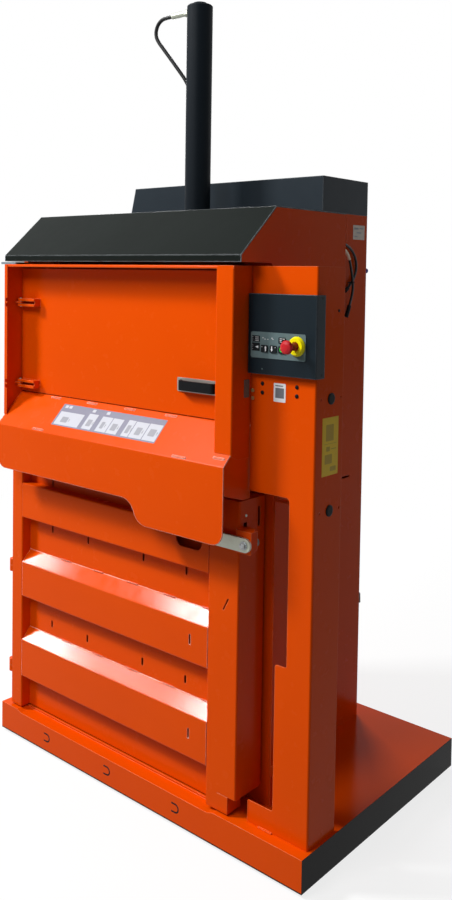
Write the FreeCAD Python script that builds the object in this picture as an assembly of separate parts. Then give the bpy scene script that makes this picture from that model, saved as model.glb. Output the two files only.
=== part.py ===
import FreeCAD, Part
import math
import os
from FreeCAD import Vector

# A vertical recycling baler: a base deck, a press chamber with a hydraulic ram on top,
# one tall front door that carries the work shelf and the loading door, and a control column.
# Millimetres. X runs to the right, Y to the back, Z up, measured from the front left
# corner of the base deck on the floor. Saved shapes are moved to the middle of the deck.

# ---- driving dimensions ----------------------------------------------------------------
deck_width, deck_depth, deck_top = 1250.0, 806.0, 97.0
deck_sheet, deck_lift = 5.0, 9.0            # plate thickness, air under the deck's skirts
sill_left, sill_right, sill_depth, sill_drop = 103.0, 932.0, 45.0, 7.0

chamber_left, chamber_right = 110.0, 940.0  # outer faces of the side walls
chamber_back, chamber_top, wall = 737.0, 1748.0, 5.0
front_frame_y = 128.0                       # front face of the two posts
cheek_left, cheek_right = 50.0, 1049.5      # outer faces of the side plates
cheek_back, cheek_sheet = 446.0, 4.0
hood_lip_y, hood_lip_z, hood_lip_top = -33.0, 1584.0, 1603.0
hood_ridge_y, hood_ridge_z, hood_sheet = 112.0, 1735.5, 2.5

ram_x, ram_y = 525.5, 371.0                 # the ram's axis
tube_radius, tube_bore = 41.5, 35.5
tube_bottom, tube_top = 1636.0, 2413.0
rod_radius = 25.0
mount_z = 1714.0                            # underside of the plate that takes the ram's push

hinge_x, hinge_y, knuckle_radius = 24.0, 28.0, 14.0
hinge_heights = ((204.0, 246.0), (546.0, 587.0))
pin_radius = 6.0

stile_y, stile_back, panel_y, panel_sheet = 13.8, 121.0, 48.0, 3.0
left_stile = (32.0, 87.0)
right_stile = (913.0, 1019.0)
foot_right = 992.0                          # right face of the right stile's narrow foot
door_bottom, right_stile_bottom = 102.0, 150.0
stile_top, left_stile_top, panel_top = 955.0, 1100.0, 1154.0
rib_slope = math.radians(48.0)
strap_xs = (203.0, 378.0, 626.0, 800.0)     # the four strapping channels

portal_y, portal_left, portal_right = -39.6, 59.5, 1032.0
jamb_left, header_top = 972.0, 1575.0
shelf_high = (27.0, 1157.0)                 # (Y, Z) of the shelf's upper fold
shelf_low = (-66.0, 1059.0)                 # (Y, Z) of the fold between shelf and fascia
fascia_high, fascia_low = 919.0, 853.0      # lower edge left and right of the S bend

leaf_y, leaf_left, leaf_right = 26.3, 64.5, 968.0
leaf_bottom, leaf_top = 1160.0, 1562.0
leaf_hinge = (80.0, 9.0)                    # (X, Y) of the loading door's axis
lug_pairs = ((1460.0, 1443.0), (1196.0, 1179.0))

column_x0, column_x1, column_y, column_back = 1033.8, 1240.5, 35.3, 155.6
column_top, column_sheet = 1575.0, 3.0
box_x = (1034.0, 1250.5)
box_y, box_back, box_z = 19.0, 56.0, (1297.0, 1504.0)
keypad_y = 17.5
stop_x, stop_z = 1193.0, 1375.0
stop_back = -18.0                           # Y of the mushroom head's back face
bolt_x, bolt_heights = 1041.5, (1230.4, 1250.7)
key_centres = ((1091.5, 1363.8), (1119.5, 1363.8), (1147.5, 1363.8), (1147.5, 1387.0))

latch_x, latch_z = 1051.0, 850.0            # pivot of the latch bar
hose_diameter, cable_diameter = 12.5, 8.0

os.makedirs("parts", exist_ok=True)


# ---- shape helpers ---------------------------------------------------------------------
def save(node, *shapes):
    shape = shapes[0] if len(shapes) == 1 else Part.makeCompound(list(shapes))
    moved = shape.copy()
    moved.translate(Vector(-deck_width / 2, -deck_depth / 2, 0))
    moved.exportStep("parts/%s.step" % node)
    print("%-20s solids %2d  volume %.0f" % (node, len(moved.Solids), moved.Volume))


def block(x0, x1, y0, y1, z0, z1):
    return Part.makeBox(x1 - x0, y1 - y0, z1 - z0, Vector(x0, y0, z0))


def bar(start, direction, radius, length):
    return Part.makeCylinder(radius, length, Vector(*start), Vector(*direction))


def place(plane, u, v, w):
    return {"xy": Vector(u, v, w), "xz": Vector(u, w, v), "yz": Vector(w, u, v)}[plane]


def outline(points, plane, w):
    """Closed wire through (u, v) or (u, v, corner radius) points."""
    starts, ends, middles = [], [], []
    count = len(points)
    for i, point in enumerate(points):
        here = Vector(point[0], point[1], 0)
        radius = point[2] if len(point) > 2 else 0.0
        before = Vector(points[i - 1][0], points[i - 1][1], 0) - here
        after = Vector(points[(i + 1) % count][0], points[(i + 1) % count][1], 0) - here
        if radius <= 0:
            starts.append(here)
            ends.append(here)
            middles.append(None)
            continue
        before.normalize()
        after.normalize()
        half = before.getAngle(after) / 2
        reach = radius / math.tan(half)
        inward = (before + after).normalize()
        starts.append(here + before * reach)
        ends.append(here + after * reach)
        middles.append(here + inward * (radius / math.sin(half) - radius))
    edges = []
    for i in range(count):
        if middles[i]:
            arc = [place(plane, p.x, p.y, w) for p in (starts[i], middles[i], ends[i])]
            edges.append(Part.Arc(*arc).toShape())
        follow = starts[(i + 1) % count]
        if (follow - ends[i]).Length > 1e-6:
            line = [place(plane, p.x, p.y, w) for p in (ends[i], follow)]
            edges.append(Part.LineSegment(*line).toShape())
    return Part.Wire(edges)


def slab(points, plane, w0, w1):
    """Flat piece: an outline in a plane, carried from w0 to w1 along the third axis."""
    return Part.Face(outline(points, plane, w0)).extrude(place(plane, 0, 0, w1 - w0))


def beside(path, distance):
    """The path moved sideways, to its left where distance is positive."""
    steps = []
    for a, b in zip(path, path[1:]):
        run = math.hypot(b[0] - a[0], b[1] - a[1])
        steps.append(((b[0] - a[0]) / run, (b[1] - a[1]) / run))
    moved = []
    for i, point in enumerate(path):
        first = steps[max(i - 1, 0)]
        second = steps[min(i, len(steps) - 1)]
        nx, ny = -first[1] - second[1], first[0] + second[0]
        scale = distance / (1 + first[0] * second[0] + first[1] * second[1])
        moved.append((point[0] + nx * scale, point[1] + ny * scale))
    return moved


def folded(path, thickness, plane, w0, w1, bend=1.5):
    """Bent sheet. path is one face of it; the sheet lies to its left if thickness > 0."""
    other = beside(path, thickness)
    near, far = [path[0]], [other[0]]
    for i in range(1, len(path) - 1):
        a, b, c = path[i - 1:i + 2]
        turn = (b[0] - a[0]) * (c[1] - b[1]) - (b[1] - a[1]) * (c[0] - b[0])
        path_is_outer = (turn > 0) == (thickness > 0)
        outer, inner = bend + abs(thickness), bend
        near.append((b[0], b[1], outer if path_is_outer else inner))
        far.append((other[i][0], other[i][1], inner if path_is_outer else outer))
    near.append(path[-1])
    far.append(other[-1])
    return slab(near + far[::-1], plane, w0, w1)


def turned(profile, centre, axis="z"):
    """Solid of revolution from (radius, height) points about a vertical or -Y axis."""
    points = [Vector(r, 0, h) for r, h in profile]
    face = Part.Face(Part.makePolygon(points + points[:1]))
    solid = face.revolve(Vector(0, 0, 0), Vector(0, 0, 1), 360)
    if axis == "-y":
        solid.rotate(Vector(0, 0, 0), Vector(1, 0, 0), 90)
    solid.translate(Vector(*centre))
    return solid


def joined(shapes):
    whole = shapes[0]
    if len(shapes) > 1:
        whole = whole.multiFuse(list(shapes[1:]))
    return whole.removeSplitter()


def hexagon(centre, radius, y0, y1):
    corners = [(centre[0] + radius * math.cos(math.radians(60 * i + 30)),
                centre[1] + radius * math.sin(math.radians(60 * i + 30))) for i in range(6)]
    return slab(corners, "xz", y0, y1)


def cord_tube(name, route, diameter):
    """Straight runs joined by tangent arcs, each as large as its two runs allow."""
    points = [Vector(*p) for p in route]
    radii, edges, length = [], [], 0.0
    last = points[0]
    for a, b, c in zip(points, points[1:], points[2:]):
        back, ahead = (a - b), (c - b)
        shorter = min(back.Length, ahead.Length)
        turn = math.pi - back.getAngle(ahead)
        radius = 0.45 * shorter / math.tan(turn / 2)
        reach = 0.45 * shorter
        back.normalize()
        ahead.normalize()
        start, end = b + back * reach, b + ahead * reach
        sink = radius / math.cos(turn / 2) - radius
        middle = b + (back + ahead).normalize() * sink
        edges.append(Part.LineSegment(last, start).toShape())
        edges.append(Part.Arc(start, middle, end).toShape())
        length += (start - last).Length + radius * turn
        radii.append(radius)
        last = end
    edges.append(Part.LineSegment(last, points[-1]).toShape())
    length += (points[-1] - last).Length
    spine = Part.Wire(edges)
    circle = Part.Wire(Part.makeCircle(diameter / 2, points[0], points[1] - points[0]))
    tube = spine.makePipeShell([circle], True, False)
    ratio = tube.Volume / (math.pi * diameter ** 2 / 4 * length)
    print("%s: length %.0f, least radius %.0f (%.1f diameters), volume over section x length %.4f"
          % (name, length, min(radii), min(radii) / diameter, ratio))
    return tube


# ---- base ------------------------------------------------------------------------------
def base_deck():
    """One plate with turned-down skirts; the sill in front of the door is pressed lower."""
    shell = block(0, deck_width, 0, deck_depth, deck_lift, deck_top)
    hollow = block(deck_sheet, deck_width - deck_sheet, deck_sheet, deck_depth - deck_sheet,
                   0, deck_top - deck_sheet)
    low, ramp = deck_top - sill_drop, 20.0
    top_line = [(sill_left - ramp, deck_top), (sill_left, low),
                (sill_right, low), (sill_right + ramp, deck_top)]
    dish = slab(top_line, "xz", -1, sill_depth)
    under = beside(top_line, -deck_sheet)
    pan = slab([(u, min(v, deck_top - 1)) for u, v in under], "xz", 0, sill_depth + deck_sheet)
    deck = joined([shell.cut(hollow), pan]).cut(dish)
    for x in (240.0, 527.0, 812.0):
        deck = deck.cut(hook_slit(x, 53.5))
    return deck


def hook_slit(x, z):
    """A U lying on its side, open to the left, cut through the front skirt."""
    outer, inner, length = 13.5, 10.0, 14.5
    big = joined([block(x - length, x + 1, -1, 6, z - outer, z + outer),
                  bar((x + 1, -1, z), (0, 1, 0), outer, 7)])
    small = joined([block(x - length - 1, x + 1, -2, 7, z - inner, z + inner),
                    bar((x + 1, -2, z), (0, 1, 0), inner, 9)])
    return big.cut(small)


def base_rails():
    """Three box-section rails that carry the deck and stand on the floor."""
    rails = []
    for x in (110.0, 585.0, 1060.0):
        outer = block(x, x + 80, sill_depth + 10, deck_depth - 20, 0, deck_top - deck_sheet)
        inner = block(x + 5, x + 75, sill_depth, deck_depth - 10, 5, deck_top - deck_sheet - 5)
        rails.append(outer.cut(inner))
    return rails


# ---- chamber ---------------------------------------------------------------------------
def chamber_floor():
    """Hat-shaped floor: four channels let the strapping pass under the bale."""
    high, low, half = deck_top + 20, deck_top + 4, 15.0
    path = [(chamber_left + wall, deck_top + 4), (chamber_left + wall, high)]
    for x in strap_xs:
        path += [(x - half - 4, high), (x - half, low), (x + half, low), (x + half + 4, high)]
    path += [(chamber_right - wall, high), (chamber_right - wall, deck_top + 4)]
    return folded(path, -4.0, "xz", front_frame_y + 2, chamber_back - wall)


def chamber_side(x0, x1):
    edge = [(front_frame_y, deck_top), (chamber_back - wall, deck_top),
            (chamber_back - wall, chamber_top), (cheek_back, chamber_top),
            (cheek_back, mount_z + 10), (front_frame_y, mount_z + 10)]
    return slab(edge, "yz", x0, x1)


def chamber_right_wall():
    side = chamber_side(chamber_right - wall, chamber_right)
    slot = slab([(618, 905, 3), (663, 905, 3), (663, 912, 3), (618, 912, 3)], "yz",
                chamber_right - wall - 1, chamber_right + 1)
    return side.cut(slot)


def chamber_back_wall():
    return block(chamber_left, chamber_right, chamber_back - wall, chamber_back,
                 deck_top, chamber_top)


def front_post(x0, x1):
    """Folded channel, open to the back, between a chamber wall and a side plate."""
    path = [(x0, front_frame_y + 62), (x0, front_frame_y), (x1, front_frame_y),
            (x1, front_frame_y + 62)]
    return folded(path, 4.0, "xy", deck_top, mount_z - 74)


def side_plate(x0, x1, inner_x):
    """Cheek of the press head: slanted nose under the hood, leg down to the deck."""
    nose = beside(hood_path(), -(hood_sheet + 0.6))
    edge = nose[:3] + [(cheek_back, nose[3][1]), (cheek_back, deck_top),
                       (front_frame_y, deck_top), (front_frame_y, 1545, 12), (95, hood_lip_z, 12)]
    flange = block(min(x0, inner_x), max(x1, inner_x), cheek_back - cheek_sheet, cheek_back,
                   deck_top, nose[3][1])
    return joined([slab(edge, "yz", x0, x1), flange])


def hood_path():
    return [(hood_lip_y, hood_lip_z), (hood_lip_y, hood_lip_top),
            (hood_ridge_y, hood_ridge_z), (cheek_back, hood_ridge_z)]


def hood():
    """Folded cover over the press head, with the hole that the ram stands in."""
    sheet = folded(hood_path(), -hood_sheet, "yz", cheek_left - 0.3, cheek_right)
    hole = bar((ram_x, ram_y, hood_ridge_z - 20), (0, 0, 1), 48, 40)
    return sheet.cut(hole)


def power_unit_tray():
    """Sheet that steps up behind the hood, runs under the rear cover and carries the pump."""
    floor, step, back = 1634.0, 488.0, chamber_back - wall - 3
    path = [(cheek_back, mount_z + 14), (cheek_back, chamber_top), (step, chamber_top),
            (step, floor), (back, floor), (back, floor + 60)]
    return folded(path, -3.0, "yz", chamber_left + wall, chamber_right - wall)


def rear_cover():
    """Sheet box over the power unit; its left end leans in."""
    left_low, left_high, front, top = 90.0, 117.0, 484.0, 1857.0
    outer = [(left_low, chamber_top), (left_high, top), (chamber_right, top),
             (chamber_right, chamber_top)]
    t = hood_sheet
    inner = [(left_low + t, chamber_top - 1), (left_high + t, top - t),
             (chamber_right - t, top - t), (chamber_right - t, chamber_top - 1)]
    return slab(outer, "xz", front, chamber_back).cut(slab(inner, "xz", front + t, chamber_back - t))


# ---- press head and ram ----------------------------------------------------------------
def press_head():
    """Two channels across the chamber, welded to the plate that takes the ram's push."""
    x0, x1 = chamber_left + wall, chamber_right - wall
    low, high, depth = mount_z - 86, mount_z, 36.0
    beams = []
    for face, way in ((300.0, -1), (442.0, 1)):
        path = [(face + way * depth, high), (face, high), (face, low), (face + way * depth, low)]
        beams.append(folded(path, 6.0 * way, "yz", x0, x1, 3.0))
    plate = slab([(430, 264, 15), (621, 264, 15), (621, 478, 15), (430, 478, 15)], "xy",
                 mount_z, mount_z + 12)
    plate = plate.cut(bar((ram_x, ram_y, mount_z - 1), (0, 0, 1), tube_radius + 0.3, 14))
    return joined(beams + [plate])


def cylinder_tube():
    """Welded tube: bore below, closed head on top, thrust ring under the mount plate."""
    profile = [(tube_bore, tube_bottom), (tube_radius, tube_bottom), (tube_radius, mount_z - 14),
               (65, mount_z - 14), (65, mount_z), (tube_radius, mount_z),
               (tube_radius, tube_top - 3), (tube_radius - 3, tube_top), (24, tube_top),
               (22, tube_top + 8), (0, tube_top + 8), (0, tube_top - 14),
               (tube_bore, tube_top - 14)]
    tube = turned(profile, (ram_x, ram_y, 0))
    port = bar((ram_x - tube_radius - 6, ram_y, 2400), (1, 0, 0), 9, 8)
    return joined([tube, port])


def cylinder_gland():
    """Guide bush in the tube's mouth, with the wiper lip that stands below it."""
    profile = [(rod_radius + 0.25, tube_bottom - 6), (tube_bore + 3, tube_bottom - 6),
               (tube_bore + 3, tube_bottom), (tube_bore, tube_bottom), (tube_bore, 1664),
               (rod_radius + 0.25, 1664)]
    return turned(profile, (ram_x, ram_y, 0))


def piston_rod():
    """Rod with the piston and its two seal grooves on top."""
    outer, low = tube_bore - 0.3, 2318.0
    profile = [(0, 1598), (rod_radius - 1, 1598), (rod_radius, 1599), (rod_radius, low),
               (outer, low), (outer, low + 10), (outer - 3, low + 10),
               (outer - 3, low + 14), (outer, low + 14), (outer, low + 30),
               (outer - 3, low + 30), (outer - 3, low + 34), (outer, low + 34),
               (outer, low + 45), (0, low + 45)]
    return turned(profile, (ram_x, ram_y, 0))


def platen():
    """Press plate: pads between the strap channels, two cross channels, rod socket."""
    bottom, plate_z, top = 1540.0, 1550.0, 1600.0
    x0, x1, y0, y1 = chamber_left + wall + 3, chamber_right - wall - 3, 132.0, chamber_back - 9
    outline_points = [(x0, y0), (140, y0), (140, 62, 8), (905, 62, 8), (905, y0), (x1, y0),
                      (x1, y1), (x0, y1)]
    parts = [slab(outline_points, "xy", plate_z, plate_z + 8)]
    edges = [x0 + 8] + [x for s in strap_xs for x in (s - 17, s + 17)] + [x1 - 8]
    for left, right in zip(edges[::2], edges[1::2]):
        pad = [(left, plate_z), (left + 6, bottom), (right - 6, bottom), (right, plate_z)]
        front = y0 + 4 if left < 140 or right > 905 else 68.0
        parts.append(slab(pad, "xz", front, y1 - 4))
    for y in (300.0, 402.0):
        path = [(y, plate_z + 8), (y, top), (y + 40, top), (y + 40, plate_z + 8)]
        parts.append(folded(path, -5.0, "yz", x0, x1, 2.0))
    for x in (x0, x1 - 6):
        parts.append(block(x, x + 6, y0, y1, plate_z + 8, top))
    parts.append(bar((ram_x, ram_y, plate_z + 8), (0, 0, 1), 44, 50))
    whole = joined(parts)
    socket = bar((ram_x, ram_y, 1598), (0, 0, 1), rod_radius + 0.15, 20)
    return whole.cut(socket)


def oil_tank():
    tank = slab([(560, 520, 12), (800, 520, 12), (800, 715, 12), (560, 715, 12)], "xy", 1634, 1790)
    cap = bar((620, 560, 1790), (0, 0, 1), 22, 18)
    return joined([tank, cap])


def pump_motor():
    """Finned motor lying on its foot, pump at its right end."""
    axis_z, y = 1716.0, 610.0
    motor = bar((250, y, axis_z), (1, 0, 0), 66, 190)
    for i in range(5):
        x = 264.0 + 36 * i
        motor = motor.fuse(bar((x, y, axis_z), (1, 0, 0), 72, 8))
    foot = block(270, 420, y - 45, y + 45, 1634, axis_z - 40)
    pump = bar((440, y, axis_z), (1, 0, 0), 40, 60)
    return joined([motor, foot, pump])


def valve_block():
    body = block(515, 552, 575, 645, 1680, 1760)
    coil = bar((533.5, 610, 1760), (0, 0, 1), 15, 55)
    return joined([body, coil, block(500, 515, 590, 630, 1700, 1732),
                   block(552, 560, 590, 630, 1700, 1732)])


# ---- hydraulic hose --------------------------------------------------------------------
hose_route = [(404, 371, 2400), (380, 371, 2400), (354.5, 371.5, 2398.8), (333.5, 372.5, 2386),
              (322, 374, 2363.5), (324.5, 376, 2338), (356, 382, 2299), (404, 392, 2238),
              (446, 405, 2180), (462, 420, 2112), (457, 439, 2044), (443, 462, 1985),
              (421, 487, 1940), (401, 510, 1903), (401, 510, 1868)]


def hose_fitting():
    """Hexagon nipple in the ram's port and the crimped ferrule of the hose."""
    x, end = ram_x - tube_radius - 6, hose_route[0][0]
    nipple = hexagon((0, 0), 13, 0, 14)
    nipple.rotate(Vector(0, 0, 0), Vector(0, 0, 1), 90)
    nipple.translate(Vector(x, ram_y, 2400))
    ferrule = bar((x - 14, ram_y, 2400), (-1, 0, 0), 9.5, x - 14 - end)
    return joined([nipple, ferrule])


def hose_socket():
    """Fitting on top of the rear cover that the hose goes down into."""
    x, y, z = hose_route[-1]
    profile = [(0, 1857), (16, 1857), (16, 1861), (11, 1861), (10, z), (0, z)]
    return turned(profile, (x, y, 0))


# ---- tall front door: panel, stiles, ribs ------------------------------------------------
def door_panel():
    """Recessed panel of the whole door, slotted for strapping and for the ribs' tabs."""
    x0, x1 = left_stile[1], right_stile[0]
    panel = block(x0, x1, panel_y, panel_y + panel_sheet, door_bottom, stile_top)
    upper = block(portal_left + 3, portal_right - 42, panel_y, panel_y + panel_sheet,
                  left_stile_top + 2, panel_top)
    middle = block(x0, portal_right - 42, panel_y, panel_y + panel_sheet,
                   stile_top, left_stile_top + 3)
    whole = joined([panel, middle, upper])
    places = [(x, z) for x in strap_xs for z in (402.0, 715.0)] + [(strap_xs[0], 868.0)]
    for x, z in places:
        slot = [(x - 4, z - 12, 3.5), (x + 4, z - 12, 3.5), (x + 4, z + 12, 3.5),
                (x - 4, z + 12, 3.5)]
        whole = whole.cut(slab(slot, "xz", panel_y - 1, panel_y + 5))
    return whole


def knuckle_room(z0, z1):
    return bar((hinge_x, hinge_y, z0 - 3), (0, 0, 1), knuckle_radius + 1.2, z1 - z0 + 6)


def door_left_stile():
    """Channel stile, notched round the hinge knuckles."""
    x0, x1 = left_stile
    path = [(x0, stile_back), (x0, stile_y), (x1, stile_y), (x1, stile_back)]
    stile = folded(path, 3.0, "xy", door_bottom, left_stile_top)
    for z0, z1 in hinge_heights:
        stile = stile.cut(knuckle_room(z0, z1))
    return joined([stile] + door_knuckles())


def door_right_stile():
    """Channel stile with a closed top, a narrow foot and the slot for the latch hook."""
    x0, x1 = right_stile
    path = [(x0, stile_back), (x0, stile_y), (x1, stile_y), (x1, stile_back)]
    stile = folded(path, 3.0, "xy", door_bottom, stile_top)
    notch = [(stile_y - 2, door_bottom - 1), (stile_back + 2, door_bottom - 1),
             (stile_back + 2, right_stile_bottom), (stile_y - 2, right_stile_bottom)]
    stile = stile.cut(slab(notch, "yz", foot_right, x1 + 1))
    stile = stile.cut(block(955, foot_right + 1, stile_y - 1, stile_y + 1.2,
                            right_stile_bottom - 1.5, right_stile_bottom + 0.5))
    foot = block(foot_right - 3, foot_right, stile_y + 2, 70, door_bottom, right_stile_bottom)
    lid = block(x0 + 2, x1 - 2, stile_y + 2, stile_back, stile_top - 3, stile_top)
    stile = joined([stile, foot, lid])
    hook_slot = [(31, 828, 3), (47, 828, 3), (47, 896, 3), (31, 896, 3)]
    rear_slot = [(92, 876, 3), (102, 876, 3), (102, 930, 3), (92, 930, 3)]
    for slot in (hook_slot, rear_slot):
        stile = stile.cut(slab(slot, "yz", x1 - 5, x1 + 1))
    slit = slab([(965, 655), (970, 655), (987, 688), (982, 688)], "xz", stile_y - 1, stile_y + 4)
    return stile.cut(slit)


def tabs(z, xs):
    """Raised tabs along a rib's upper flange, where it is hooked into the panel."""
    return [block(x - 23, x + 23, panel_y - 4.5, panel_y, z - 1.0, z + 2.0) for x in xs]


def sloped_rib(low, high, slit_x, slit_z):
    """Rib folded from one sheet: flat foot, face, and a slope back up to the panel."""
    x0, x1 = left_stile[1], right_stile[0]
    rise = (panel_y - stile_y) * math.tan(rib_slope)
    path = [(panel_y, low), (stile_y, low), (stile_y, high), (panel_y, high + rise)]
    rib = folded(path, -3.0, "yz", x0, x1)
    rib = rib.cut(block(x0 - 1, x1 + 1, panel_y, panel_y + 9, low - 5, high + rise + 9))
    rib = joined([rib] + tabs(high + rise + 0.6, [275.0 + 153.0 * i for i in range(5)]))
    slit = [(slit_x - 3, slit_z - 14, 2.5), (slit_x + 3, slit_z - 14, 2.5),
            (slit_x + 3, slit_z + 14, 2.5), (slit_x - 3, slit_z + 14, 2.5)]
    return rib.cut(slab(slit, "xz", stile_y - 1, stile_y + 4))


def door_rib_top():
    """Top beam, with the round-cornered hollow that leaves room for a hand at the latch."""
    x0, x1 = left_stile[1], right_stile[0]
    low, high = 740.0, 854.5
    path = [(panel_y, low), (stile_y, low), (stile_y, high), (panel_y, high)]
    rib = folded(path, -3.0, "yz", x0, x1)
    dip = [(790, high + 9), (790, 795, 22), (888, 795, 22), (888, high + 9)]
    return rib.cut(slab(dip, "xz", stile_y - 1, panel_y + 1))


# ---- door hinges -------------------------------------------------------------------------
def door_knuckles():
    """Upper half of each hinge, with the leaf that is welded to the stile's side."""
    pieces = []
    x = left_stile[0]
    for z0, z1 in hinge_heights:
        middle = (z0 + z1) / 2 + 0.5
        barrel = bar((hinge_x, hinge_y, middle), (0, 0, 1), knuckle_radius, z1 - middle)
        leaf = slab([(hinge_x, hinge_y - 9), (x, hinge_y - 9), (x, hinge_y + 60),
                     (x - 6, hinge_y + 60), (x - 6, hinge_y + 9), (hinge_x, hinge_y + 9)],
                    "xy", middle, z1)
        hole = bar((hinge_x, hinge_y, z0 - 5), (0, 0, 1), pin_radius + 0.25, z1 - z0 + 20)
        pieces.append(joined([barrel, leaf]).cut(hole))
    return pieces


def hinge_leaves():
    """Lower half of each hinge, on a long leaf that runs back to the left post."""
    pieces = []
    for z0, z1 in hinge_heights:
        middle = (z0 + z1) / 2 - 0.5
        barrel = bar((hinge_x, hinge_y, z0), (0, 0, 1), knuckle_radius, middle - z0)
        leaf = block(hinge_x - knuckle_radius, hinge_x - knuckle_radius + 10, hinge_y,
                     front_frame_y + 50, z0, middle)
        foot = block(hinge_x - knuckle_radius, cheek_left, front_frame_y + 10,
                     front_frame_y + 50, z0 - 20, z1 + 20)
        piece = joined([barrel, leaf, foot])
        hole = bar((hinge_x, hinge_y, z0 - 5), (0, 0, 1), pin_radius, z1 - z0)
        pieces.append(piece.cut(hole))
    return pieces


def hinge_pins():
    pins = []
    for z0, z1 in hinge_heights:
        pins.append(bar((hinge_x, hinge_y, z0), (0, 0, 1), pin_radius, z1 - z0 - 1))
    pins.append(bar((hinge_x, hinge_y, 1556), (0, 0, 1), pin_radius, 25))
    return pins


def top_hinge_plate():
    """Flat plate bolted on the portal's top corner, with the upper pin's eye."""
    z0, z1 = header_top, header_top + 7
    edge = [(hinge_x - 22, hinge_y + 18, 17), (hinge_x - 22, hinge_y - 22, 17),
            (33, portal_y + 4, 4), (109, portal_y + 4, 4), (109, 20, 4), (46, hinge_y + 18, 10)]
    plate = slab(edge, "xy", z0, z1)
    return plate.cut(bar((hinge_x, hinge_y, z0 - 1), (0, 0, 1), pin_radius + 0.25, 12))


def top_hinge_bracket():
    """Fixed arm below that plate, running back to the left side plate's leg."""
    z0, z1 = 1560.0, 1570.0
    arm = slab([(hinge_x - 16, hinge_y - 14, 12), (hinge_x + 16, hinge_y - 14, 12),
                (hinge_x + 16, front_frame_y + 40), (hinge_x - 16, front_frame_y + 40)], "xy", z0, z1)
    foot = block(hinge_x - 16, cheek_left, front_frame_y + 30, front_frame_y + 40, z0 - 50, z1)
    arm = joined([arm, foot])
    arm = arm.cut(block(cheek_left, 80, 60, 200, z0 - 60, z1 + 5))
    return arm.cut(bar((hinge_x, hinge_y, z0 - 1), (0, 0, 1), pin_radius, 12))


# ---- portal, shelf and loading door --------------------------------------------------------
def portal_frame():
    """Left cheek, header and right jamb, welded into one frame above the shelf."""
    left = slab([(portal_y, header_top), (stile_back, header_top), (stile_back, left_stile_top),
                 (stile_y, left_stile_top), (portal_y, shelf_low[1] + 6)], "yz",
                portal_left, portal_left + 3)
    header = folded([(portal_y, header_top - 8), (portal_y, header_top), (30, header_top),
                     (30, header_top - 9)], -3.0, "yz", portal_left + 3, portal_right)
    jamb = folded([(jamb_left, portal_y + 20), (jamb_left, portal_y), (portal_right, portal_y),
                   (portal_right, column_y - 0.3)], 3.0, "xy", 1040, header_top)
    slope = (shelf_high[1] - shelf_low[1]) / (shelf_high[0] - shelf_low[0])
    start = (portal_y - 9, shelf_low[1] + slope * (portal_y - 9 - shelf_low[0]))
    on_shelf = [start, shelf_high, (60, shelf_high[1]), (60, 1030), (portal_y - 9, 1030)]
    jamb = jamb.cut(slab(on_shelf, "yz", jamb_left - 1, portal_right - 3))
    beside_shelf = [(portal_y - 1, 1084), (portal_y + 26, 1072), (60, 1072), (60, 1030),
                    (portal_y - 1, 1030)]
    jamb = jamb.cut(slab(beside_shelf, "yz", portal_right - 4, portal_right + 1))
    lugs = [fixed_lug((high + low) / 2) for high, low in lug_pairs]
    return joined([left, header, jamb] + lugs)


def fixed_lug(z):
    """Ear of the frame: a plate from the left cheek with the loading door's pin hole."""
    x, y = leaf_hinge
    ear = slab([(portal_left + 2, y - 8), (x + 9, y - 8, 7), (x + 9, y + 8, 7),
                (portal_left + 2, y + 8)], "xy", z - 3, z + 3)
    return ear.cut(bar((x, y, z - 6), (0, 0, 1), 4, 12))


def shelf_path():
    return [(panel_y + panel_sheet, shelf_high[1]), shelf_high, shelf_low,
            (shelf_low[0], fascia_low)]


def work_shelf():
    """Sloping shelf and fascia folded from one sheet, lower edge with an S bend."""
    x0, x1 = portal_left + 3, portal_right - 3
    sheet = folded(shelf_path(), 3.0, "yz", x0, x1, 2.5)
    bend_start, bend_end = 651.0, 749.0
    width, drop = bend_end - bend_start, fascia_high - fascia_low
    half_turn = math.atan2(drop, width)
    radius = width / 2 / math.sin(2 * half_turn)
    reach = radius * math.tan(half_turn)
    below = [(x0 - 5, fascia_low - 9), (x0 - 5, 960), (x0, 960), (x0, fascia_high, 38),
             (bend_start + reach, fascia_high, radius * 0.99),
             (bend_end - reach, fascia_low, radius * 0.99), (x1, fascia_low, 38), (x1, 900),
             (x1 + 5, 900), (x1 + 5, fascia_low - 9)]
    sheet = sheet.cut(slab(below, "xz", shelf_low[0] - 2, shelf_low[0] + 8))
    return joined([sheet] + shelf_tabs())


def shelf_tabs():
    """Raised tabs beside the shelf's upper and lower folds."""
    run, rise = shelf_high[0] - shelf_low[0], shelf_high[1] - shelf_low[1]
    length = math.hypot(run, rise)
    along, up = (run / length, rise / length), (-rise / length, run / length)

    def strip(start, x0, x1):
        corners = [(start + a, b) for a, b in ((0, -1), (5, -1), (5, 1.8), (0, 1.8))]
        points = [(shelf_low[0] + s * along[0] + t * up[0], shelf_low[1] + s * along[1] + t * up[1])
                  for s, t in corners]
        return slab(points, "yz", x0, x1)

    upper = [strip(length - 9, x - 22, x + 22) for x in (248.0, 421.0, 589.0, 757.0)]
    lower = [strip(4, x - 25, x + 25) for x in (264.0, 868.0)]
    at_jamb = [strip(22, 980, 1018)]
    return upper + lower + at_jamb


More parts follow.
